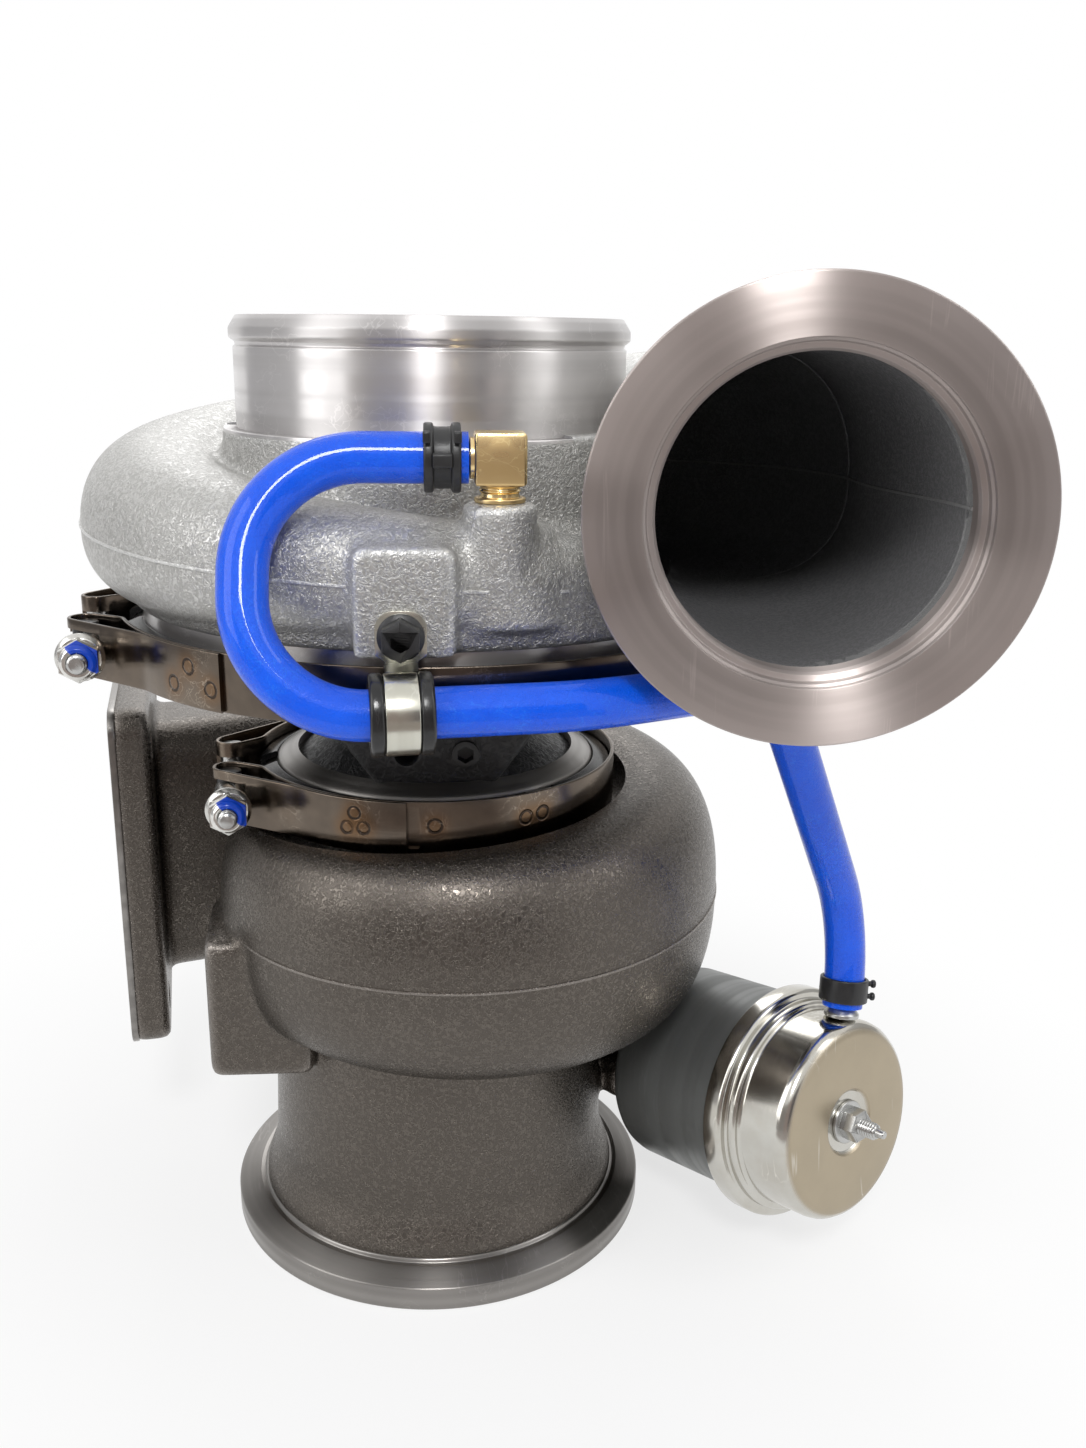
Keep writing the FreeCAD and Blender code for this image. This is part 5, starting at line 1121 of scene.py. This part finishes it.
def clamp(prefix, size, band_steel):
    """All the pieces of one V-band clamp, drawn round local Z with the bolt on +X."""
    place = Matrix.Translation(UP * size["joint_z"] * MM) @ Matrix.Rotation(math.radians(size["turn"]), 4, "Z")
    hardware = "clamp_hardware"
    radius, line, reach = size["vee_r"] + 2.6, size["line"], size["reach"]
    path = band_end(size, 1)[::-1] + arc(radius + 0.6, size["gap"], 360 - size["gap"])[1:-1] + band_end(size, -1)
    section = rounded(box(-0.6, -8.7, 0.6, 8.7, 0.4), 3)
    band = skin(prefix + "_clamp_band_skin", carried(eased(even(path, 1.0), 4), section, UP))
    through = stand(ORIGIN, Vector((1, 0, 0)), Vector((0, 1, 0)))
    window = [(reach - 2, -5.6, 1), (reach + 24, -5.6, 5), (reach + 24, 5.6, 5), (reach - 2, 5.6, 1)]
    near = box(reach - 18, -3.5, reach + 1, 3.5)
    far = box(-reach, -3.5, 18 - reach, 3.5)
    gaps = [
        slab("weld gap", box(-6.8, -1.9, 6.8, 1.9, 0.8),
             radius, radius + 6, stand(ORIGIN, heading(turn), UP)) for turn in size["slots"]
    ]
    carve(band, gaps + [
        slab("window", window, line - 5.4, line + 18, through),
        slab("near slot", near, line - 6, line + 5.9, through),
        slab("far slot", far, line - 6, line + 5.8, through),
    ])
    band.matrix_world = place
    put_on(band, band_steel, "clamp_band", prefix + "_clamp_band")

    inner, wall, outer = size["vee_r"] - 3.7, size["vee_r"] + 0.3, size["vee_r"] + 2.3
    for i in range(3):
        corners = [
            (inner, 6.79, 0.6), (outer, 4.61, 0.9), (outer, -4.61, 0.9), (inner, -6.79, 0.6), (inner, -4.67, 0.6),
            (wall, -3.21), (wall, 3.21), (inner, 4.67, 0.6),
        ]
        retainer = lathe(prefix + "_retainer_skin_" + str(i + 1), corners, place, 110, 6 + 120 * i, 108)
        put_on(retainer, black_gloss, "clamp_retainer", prefix + "_clamp_retainer_" + str(i + 1))

    barrel = [(0, -7.2), (4.1, -7.2, 0.5), (4.1, 7.2, 0.5), (0, 7.2)]
    far_loop = place @ stand(Vector((line, -reach, 0)), UP, SIDE)
    put_on(lathe(prefix + "_tbolt_head", barrel, far_loop, 48), steel, hardware, prefix + "_clamp_tbolt")
    along_bolt = Vector((0, 1, 0))
    bolt_foot = place @ stand(Vector((line, 2 - reach, 0)), along_bolt, UP)
    put_on(threaded(prefix + "_tbolt_thread", 3.0, 2 * reach + 28.3, 1.25, bolt_foot), steel, hardware)
    near_loop = place @ stand(Vector((line, reach, 0)), UP, SIDE)
    trunnion = lathe(prefix + "_trunnion_barrel", barrel, near_loop, 48)
    put_on(trunnion, black_satin, hardware, prefix + "_clamp_trunnion")
    put_on(lathe(prefix + "_trunnion_sleeve", [
        (3.1, 0), (5, 0), (5, 18.5, 0.6), (3.1, 18.5),
    ], place @ stand(Vector((line, reach, 0)), along_bolt, UP), 64), steel, hardware)

    at_nut = place @ stand(Vector((line, reach + 18.5, 0)), along_bolt, UP)
    put_on(lathe(prefix + "_nut_flange", [
        (3.1, 0), (7.4, 0, 0.3), (7.4, 1.3, 0.5), (6.2, 2.6, 0.8), (3.1, 2.6),
    ], at_nut, 96), plated_nut, hardware, prefix + "_clamp_nut")
    hexagon = slab(prefix + "_nut_hexagon", hexagon_ring(11.5), 1.8, 7.4, at_nut, bevel=0.5)
    put_on(hexagon, plated_nut, hardware)
    put_on(lathe(prefix + "_nut_collar", [
        (3.1, 6.8), (5.5, 6.8), (5.4, 8.2, 1.2), (4.3, 9.4, 0.8), (3.1, 9.2, 0.3),
    ], at_nut, 64), plated_nut, hardware)


# %% [markdown]
# The band's colour is heat: it was tempered, so it went from straw to brown, darker near the
# welds. Each weld is a ring pressed by the electrode, drawn as a mask round a named point.

# %% Weld mark group
weld_mark, given, made = group("weld_mark", {"Turn": 0.0, "Radius": 0.1, "Height": 0.0}, ["Ring", "Heat"])
spot = own_place(weld_mark)
angle = math_node(weld_mark, "MULTIPLY", given.outputs["Turn"], math.pi / 180)
place_x = math_node(weld_mark, "MULTIPLY", math_node(weld_mark, "COSINE", angle), given.outputs["Radius"])
place_y = math_node(weld_mark, "MULTIPLY", math_node(weld_mark, "SINE", angle), given.outputs["Radius"])
centre = add(weld_mark, "ShaderNodeCombineXYZ", {"X": place_x, "Y": place_y, "Z": given.outputs["Height"]})
away = add(weld_mark, "ShaderNodeVectorMath", {0: spot, 1: centre.outputs[0]}, operation="DISTANCE")
away = away.outputs["Value"]
off = math_node(weld_mark, "ABSOLUTE", math_node(weld_mark, "SUBTRACT", away, 0.0022))
weld_mark.links.new(ramp(weld_mark, off, 0.0002, 0.0006, 1.0, 0.0), made.inputs["Ring"])
weld_mark.links.new(ramp(weld_mark, away, 0.001, 0.007, 1.0, 0.0), made.inputs["Heat"])


# %% Band steel and nut
def tempered_band(name, radius, welds):
    """Brown tempered stainless with weld rings at (turn, height) places."""
    material, tree, shader = finish(name, 1.0, 0.2, (0.22, 0.18, 0.145), Anisotropic=0.5)
    turned_light(tree, shader)
    cloud = use(tree, stains, Patches_per_Metre=22.0)
    lines = use(tree, scratches, Lines_per_Metre=120.0, Share=0.4)
    rings = use(tree, turned_rings, Rings_per_Metre=900.0)
    colour = mix(tree, cloud.outputs["Mask"], (0.09, 0.075, 0.063), (0.20, 0.16, 0.125))
    rim = None
    for turn, height in welds:
        mark = use(tree, weld_mark, Turn=turn, Radius=radius * MM, Height=height * MM)
        colour = tint(tree, mark.outputs["Heat"], 0.6, colour, (0.20, 0.11, 0.05))
        colour = mix(tree, mark.outputs["Ring"], colour, (0.06, 0.045, 0.035))
        rim = mark.outputs["Ring"] if rim is None else math_node(tree, "MAXIMUM", rim, mark.outputs["Ring"])
    colour = mix(tree, lines.outputs["Mask"], colour, (0.55, 0.48, 0.40))
    tree.links.new(colour, shader.inputs["Base Color"])
    tree.links.new(ramp(tree, cloud.outputs["Mask"], 0, 1, 0.16, 0.26), shader.inputs["Roughness"])
    height = math_node(tree, "SUBTRACT", math_node(tree, "MULTIPLY", rings.outputs["Height"], 0.15), rim)
    bump(tree, shader, height, 0.12)
    return material


plated_nut, tree, shader = finish("zinc nut with a blue mark", 1.0, 0.14, (0.74, 0.73, 0.70))
spot = own_place(tree)
apart = add(tree, "ShaderNodeSeparateXYZ", {"Vector": spot})
upper = ramp(tree, math_node(tree, "SUBTRACT", apart.outputs["X"], apart.outputs["Y"]), 0.0008, 0.0016)
outer = ramp(tree, apart.outputs["Z"], 0.0066, 0.0070)
paint = math_node(tree, "MULTIPLY", upper, outer)
cloud = use(tree, stains, Patches_per_Metre=160.0)
silver = mix(tree, cloud.outputs["Mask"], (0.78, 0.77, 0.74), (0.55, 0.54, 0.51))
tree.links.new(mix(tree, paint, silver, (0.004, 0.05, 0.45)), shader.inputs["Base Color"])
tree.links.new(ramp(tree, paint, 0, 1, 1.0, 0.0), shader.inputs["Metallic"])
tree.links.new(ramp(tree, cloud.outputs["Mask"], 0, 1, 0.1, 0.25), shader.inputs["Roughness"])
bump(tree, shader, cloud.outputs["Mask"], 0.02)

# %% Both clamps
compressor_band = tempered_band("tempered band, upper", 105.05, [(40.6, 3.2), (36.7, -2.8), (45.5, -2.3)])
turbine_band = tempered_band("tempered band, lower", 63.3, [
    (57.6, -1.0), (62.7, -0.5), (60, 4.2), (83, 0.8), (110.3, 0.8), (116, 1.2)])
clamp("compressor", {
    "vee_r": 100.0, "joint_z": 221.0, "turn": 177.5, "line": 112.5, "reach": 19.0, "gap": 12.0, "leave": 27.0,
    "ends": (47.5, 47.5), "slots": (),
}, compressor_band)
clamp("turbine", {
    "vee_r": 59.2, "joint_z": 168.0, "turn": 176.5, "line": 71.2, "reach": 15.5, "gap": 16.0, "leave": 38.0,
    "ends": (60.0, 75.0), "slots": (76.9,),
}, turbine_band)

# %% [markdown]
# ## Boost line
# The blue hose keeps the route it has in CAD: straight runs joined by arcs. It is drawn as a
# true tube, so its open ends show their wall. The elbow is a block of brass with scratched
# faces.

# %% Hose
def bent_line(corners):
    """An open line through (point, radius) corners, each turned with its arc."""
    line = [corners[0][0]]
    for before, (here, radius), after in zip(corners, corners[1:], corners[2:]):
        line += corner_arc(before[0], here, after[0], radius, 24)
    return line + [corners[-1][0]]


HOSE_R, HOSE_BORE_R = 6.9, 3.9
NIPPLE_TURN = math.radians(78)
nipple_out = ACROSS * math.cos(NIPPLE_TURN) + ACTUATOR_AXIS.cross(ACROSS) * math.sin(NIPPLE_TURN)
nipple_foot = actuator_point(18.5) + nipple_out * 33.9
HOSE_START = ELBOW - SIDE * 8.5
CLIP_RUN = (front_point(-50, 119, 219.5), front_point(40, 111, 220.5))
hose_corners = [
    (HOSE_START, 0), (front_point(-50, 90, ELBOW_Z), 31.5), (CLIP_RUN[0], 31.5),
    (CLIP_RUN[1], 70), (heading(-48.814) * 127.56 + UP * 219, 44),
    (nipple_foot + nipple_out * 34, 60), (nipple_foot + nipple_out * 5, 0),
]
hose_line = even(bent_line(hose_corners), 1.2)


def circle(radius):
    """Points of a circle in a section."""
    turns = [math.tau * k / 40 for k in range(40)]
    return [(radius * math.cos(turn), radius * math.sin(turn)) for turn in turns]


outside = carried(hose_line, circle(HOSE_R), UP)
inside = carried(hose_line, circle(HOSE_BORE_R), UP)
hose = skin("boost_hose_skin", outside + inside[::-1], wrap=True)
put_on(hose, blue_hose, "hose", "boost_hose")
print("hose length in mm:", round(sum((b - a).length for a, b in zip(hose_line, hose_line[1:])), 1))

# %% Elbow
at_elbow = stand(ELBOW, UP, SIDE)
put_on(slab("elbow_block", box(-7, -6.5, 7, 6.5, 1.0), -7, 7, at_elbow, bevel=1.0), brass, "brass", "boost_elbow")
put_on(lathe("elbow_neck", [
    (0, -19.2), (4.4, -19.2, 0.6), (4.4, -11.7), (7, -11.7, 0.3), (7, -10.4, 0.5), (5.4, -10.2), (5.2, -9.2, 0.3),
    (5.8, -8.6, 0.2), (5.2, -8.0, 0.3), (5.9, -7.2), (5.9, -6.5), (0, -6.5),
], at_elbow, 72), brass, "brass")
put_on(lathe("elbow_barb", [
    (0, 6.5), (5.6, 6.5, 0.3), (5.6, 8.2, 0.3), (3.6, 8.4), (3.6, 21), (3.0, 23, 0.5), (0, 23),
], stand(ELBOW, -SIDE, UP), 64), brass, "brass")

# %% [markdown]
# ## Hose clamps and clip
# Two black clamps hold the ends of the hose. The one at the elbow has two raised ribs with a
# band between them. The clip on the pad is a plated strap round a rubber cushion.

# %% Elbow clamp
at_ribs = stand(HOSE_START - SIDE * 2.0, -SIDE, FRONT)
put_on(lathe("elbow_clamp_ribs", [
    (7.2, 0, 0.3), (9.3, 0, 0.7), (9.3, 2.4, 0.7), (8.2, 2.8, 0.3), (8.2, 7.2, 0.3), (9.3, 7.6, 0.7),
    (9.3, 10, 0.7), (7.2, 10, 0.3),
], at_ribs, 96), black_satin, "black_steel", "elbow_hose_clamp")
put_on(slab("elbow_clamp_ear", [
    (7.7, -2.0, 0.5), (10.7, -2.0, 0.9), (10.7, 2.0, 0.9), (7.7, 2.0, 0.5),
], 2.4, 7.6, at_ribs, bevel=0.4), black_satin, "black_steel")
for side in (-1, 1):
    put_on(slab("elbow_clamp_tail_" + ("left" if side < 0 else "right"), [
        (8.6, 4.4, 0.4), (10.1, 4.4, 0.7), (10.1, 7.6, 0.7), (8.6, 7.6, 0.4),
    ], 5 + side * 4.1 - 1.0, 5 + side * 4.1 + 1.0, at_ribs, bevel=0.3), black_satin, "black_steel")

# %% Clip
clip_run = CLIP_RUN[1] - CLIP_RUN[0]
clip_axis = clip_run.normalized()
at_clip = stand(CLIP_RUN[0] + clip_axis * (clip_run.length * 41 / 90), clip_axis, FRONT)
put_on(lathe("clip_cushion_skin", [
    (7.2, -8.5, 0.4), (11.1, -8.5, 1.2), (11.1, -4.7, 0.8), (9.6, -4.7), (9.6, 4.7), (11.1, 4.7, 0.8),
    (11.1, 8.5, 1.2), (7.2, 8.5, 0.4),
], at_clip, 96), black_gloss, "black_rubber", "clip_cushion")
put_on(lathe("clip_strap_ring", [
    (9.9, -4.5, 0.2), (10.9, -4.5, 0.4), (10.9, 4.5, 0.4), (9.9, 4.5, 0.2),
], at_clip, 96), zinc, "zinc", "clip_strap")
put_on(slab("clip_strap_tab", [
    (CLIP_SIDE - 4.5, CLIP_Z - 0.5), (CLIP_SIDE + 4.5, CLIP_Z - 0.5), (CLIP_SIDE + 4.5, CLIP_Z + 11.8),
    (CLIP_SIDE + 7, CLIP_Z + 13.5, 1), (CLIP_SIDE + 7, CLIP_BOLT_Z + 7, 5), (CLIP_SIDE - 7, CLIP_BOLT_Z + 7, 5),
    (CLIP_SIDE - 7, CLIP_Z + 13.5, 1), (CLIP_SIDE - 4.5, CLIP_Z + 11.8),
], PAD_OUT, PAD_OUT + 1.0, ON_FRONT, bevel=0.2), zinc, "zinc")
at_bolt = stand(front_point(CLIP_SIDE, PAD_OUT, CLIP_BOLT_Z), FRONT, UP)
put_on(lathe("clip_bolt_flange", [
    (0, 1), (6.4, 1, 0.2), (6.4, 2.2, 0.4), (4.9, 3.0, 0.6), (0, 3.0),
], at_bolt, 96), black_satin, "black_steel", "clip_bolt")
bolt_head = slab("clip_bolt_head", hexagon_ring(10.0), 2.4, 8.0, at_bolt, bevel=0.6)
carve(bolt_head, [slab("socket", hexagon_ring(5.0), 4.5, 9.0, at_bolt)])
put_on(bolt_head, black_satin, "black_steel")

# %% [markdown]
# ## Wastegate actuator
# The can is deep drawn and painted satin grey. The cap is zinc plated and crimped over the
# can's lip with a double roll; its flat face is duller than its wall.

# %% Actuator materials
cap_zinc, tree, shader = finish("zinc plated cap", 1.0, 0.16, (0.66, 0.65, 0.61), Anisotropic=0.3)
turned_light(tree, shader)
spot = own_place(tree)
apart = add(tree, "ShaderNodeSeparateXYZ", {"Vector": spot})
face = ramp(tree, apart.outputs["Z"], 0.0245, 0.0258)
cloud = use(tree, stains, Patches_per_Metre=45.0)
lines = use(tree, scratches, Lines_per_Metre=60.0, Share=0.5)
rings = use(tree, turned_rings, Rings_per_Metre=700.0)
colour = mix(tree, face, (0.60, 0.59, 0.55), (0.45, 0.385, 0.285))
colour = tint(tree, cloud.outputs["Mask"], 0.35, colour, (0.36, 0.31, 0.235))
colour = mix(tree, lines.outputs["Mask"], colour, (0.8, 0.78, 0.72))
tree.links.new(colour, shader.inputs["Base Color"])
tree.links.new(ramp(tree, face, 0, 1, 0.15, 0.36), shader.inputs["Roughness"])
bump(tree, shader, math_node(tree, "SUBTRACT", rings.outputs["Height"], lines.outputs["Mask"]), 0.004)

# %% Actuator shells
put_on(lathe("actuator_can_skin", [
    (8.3, -56), (36.5, -56, 5), (36.5, -3, 1), (39.3, -3), (39.3, -1.5), (35, -1.5, 1.5), (35, -54.5, 3.5),
    (8.3, -54.5),
], ON_ACTUATOR, 160), can_grey, "can", "actuator_can")
put_on(lathe("actuator_cap_skin", [
    (4, 24.6), (10.5, 24.6, 0.4), (11.8, 26, 0.6), (34.7, 26, 5), (34.7, 6.2, 1.2), (37.3, 6.2, 1.2),
    (37.3, 2.6, 0.8), (40.9, 2.6, 1.6), (40.9, -4.8, 0.8), (37.5, -4.8, 0.5), (37.5, -3.1), (39.6, -3.1),
    (39.6, 1), (33.2, 1, 1), (33.2, 24.5, 4), (12.4, 24.5, 1), (11, 23.1), (4, 23.1),
], ON_ACTUATOR, 192), cap_zinc, "zinc", "actuator_cap")
screw_foot = stand(actuator_point(17), ACTUATOR_AXIS, UP)
put_on(threaded("stop_screw_thread", 2.9, 20.5, 1.0, screw_foot, 0.4), steel, "zinc", "stop_screw")
put_on(lathe("stop_screw_tip", [
    (0, 36), (1.9, 36), (1.5, 38.5), (1.3, 40.5, 0.5), (0, 40.5),
], ON_ACTUATOR, 40), steel, "zinc")
put_on(lathe("stop_nut_washer", [
    (3.0, 24.6), (7.5, 24.6, 0.3), (7.5, 25.8, 0.4), (3.0, 25.8),
], ON_ACTUATOR, 80), steel, "zinc", "stop_screw_nut")
put_on(slab("stop_nut_hexagon", hexagon_ring(10.0), 25.6, 31.1, ON_ACTUATOR, bevel=0.6), steel, "zinc")

# %% Nipple and its clamp
at_nipple = stand(nipple_foot, nipple_out, SIDE)
put_on(lathe("hose_nipple_skin", [
    (1.6, -1.2), (2.5, -1.2), (2.5, 0.9), (6.0, 1.4, 0.3), (6.0, 2.6, 0.4), (4.6, 4.4), (3.6, 4.6),
    (3.6, 15, 0.8), (1.6, 15),
], at_nipple, 72), steel, "zinc", "hose_nipple")
put_on(lathe("actuator_clamp_band", [
    (7.2, 7.0, 0.3), (8.3, 7.0, 0.5), (8.3, 15.0, 0.5), (7.2, 15.0, 0.3),
], at_nipple, 96), black_satin, "black_steel", "actuator_hose_clamp")
arm = (SIDE - nipple_out * SIDE.dot(nipple_out)).normalized()
for name, height in (("low", 8.8), ("high", 13.2)):
    ear_foot = nipple_foot + nipple_out * height
    put_on(lathe("actuator_clamp_ear_" + name, [
        (0, 7.7), (0.9, 7.7), (0.9, 9.4, 0.4), (1.4, 9.9, 0.6), (1.4, 11.1, 0.6), (0, 11.1),
    ], stand(ear_foot, arm, UP), 32), black_satin, "black_steel")

# %% [markdown]
# ## CAD pieces that stay
# The wheels, the backplate and the small inner parts are exact already, so they keep their
# solids and only take a finish. The nut, the plug and the backplate's bolts get a small
# bevel. The spring is a copy of its solid.

# %% Finishes for the CAD pieces
kept = {
    "backplate": milled, "compressor_wheel": milled, "turbine_wheel_shaft": nickel_cast, "diaphragm": rubber,
    "backplate_oring": rubber,
}
kept.update({name: steel for name in (
    "compressor_nut", "thrust_collar", "oil_slinger", "oil_deflector", "piston_ring_turbine",
    "piston_ring_compressor", "bearing_spacer", "heat_shield", "wastegate_valve", "stem_nut",
    "wastegate_seat", "diaphragm_piston",
)})
kept.update({name: bronze for name in (
    "journal_bearing_turbine", "journal_bearing_compressor", "thrust_bearing", "wastegate_bush",
)})
black_bolts = ["feed_pad_plug"] + ["backplate_bolt_" + str(i) for i in range(1, 5)]
kept.update({name: black_satin for name in black_bolts})
kept.update({name: zinc for name in ("actuator_bolt_1", "actuator_bolt_2")})
for name, material in kept.items():
    piece = nodes[name]
    piece.material_slots[0].material = material
    piece.data.shade_smooth()
    piece.data.set_sharp_from_angle(angle=math.radians(32))
for name in ["compressor_nut"] + black_bolts:
    weld = nodes[name].modifiers.new("weld", "WELD")
    weld.merge_threshold = 1e-5
    bevel = nodes[name].modifiers.new("bevel", "BEVEL")
    bevel.width, bevel.segments, bevel.limit_method, bevel.angle_limit = 0.0002, 2, "ANGLE", math.radians(35)

coil_mesh = nodes["wastegate_spring"].data.copy()
coil_mesh.transform(nodes["wastegate_spring"].matrix_world)
coil = bpy.data.objects.new("wastegate_spring_coil", coil_mesh)
bpy.context.scene.collection.objects.link(coil)
put_on(coil, steel, "spring_steel", "wastegate_spring")
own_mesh(coil)
left = [name for name in nodes if not nodes[name].hide_render and name not in kept]
print("CAD pieces without a finish of their own:", left)

# %% Size
low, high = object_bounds()
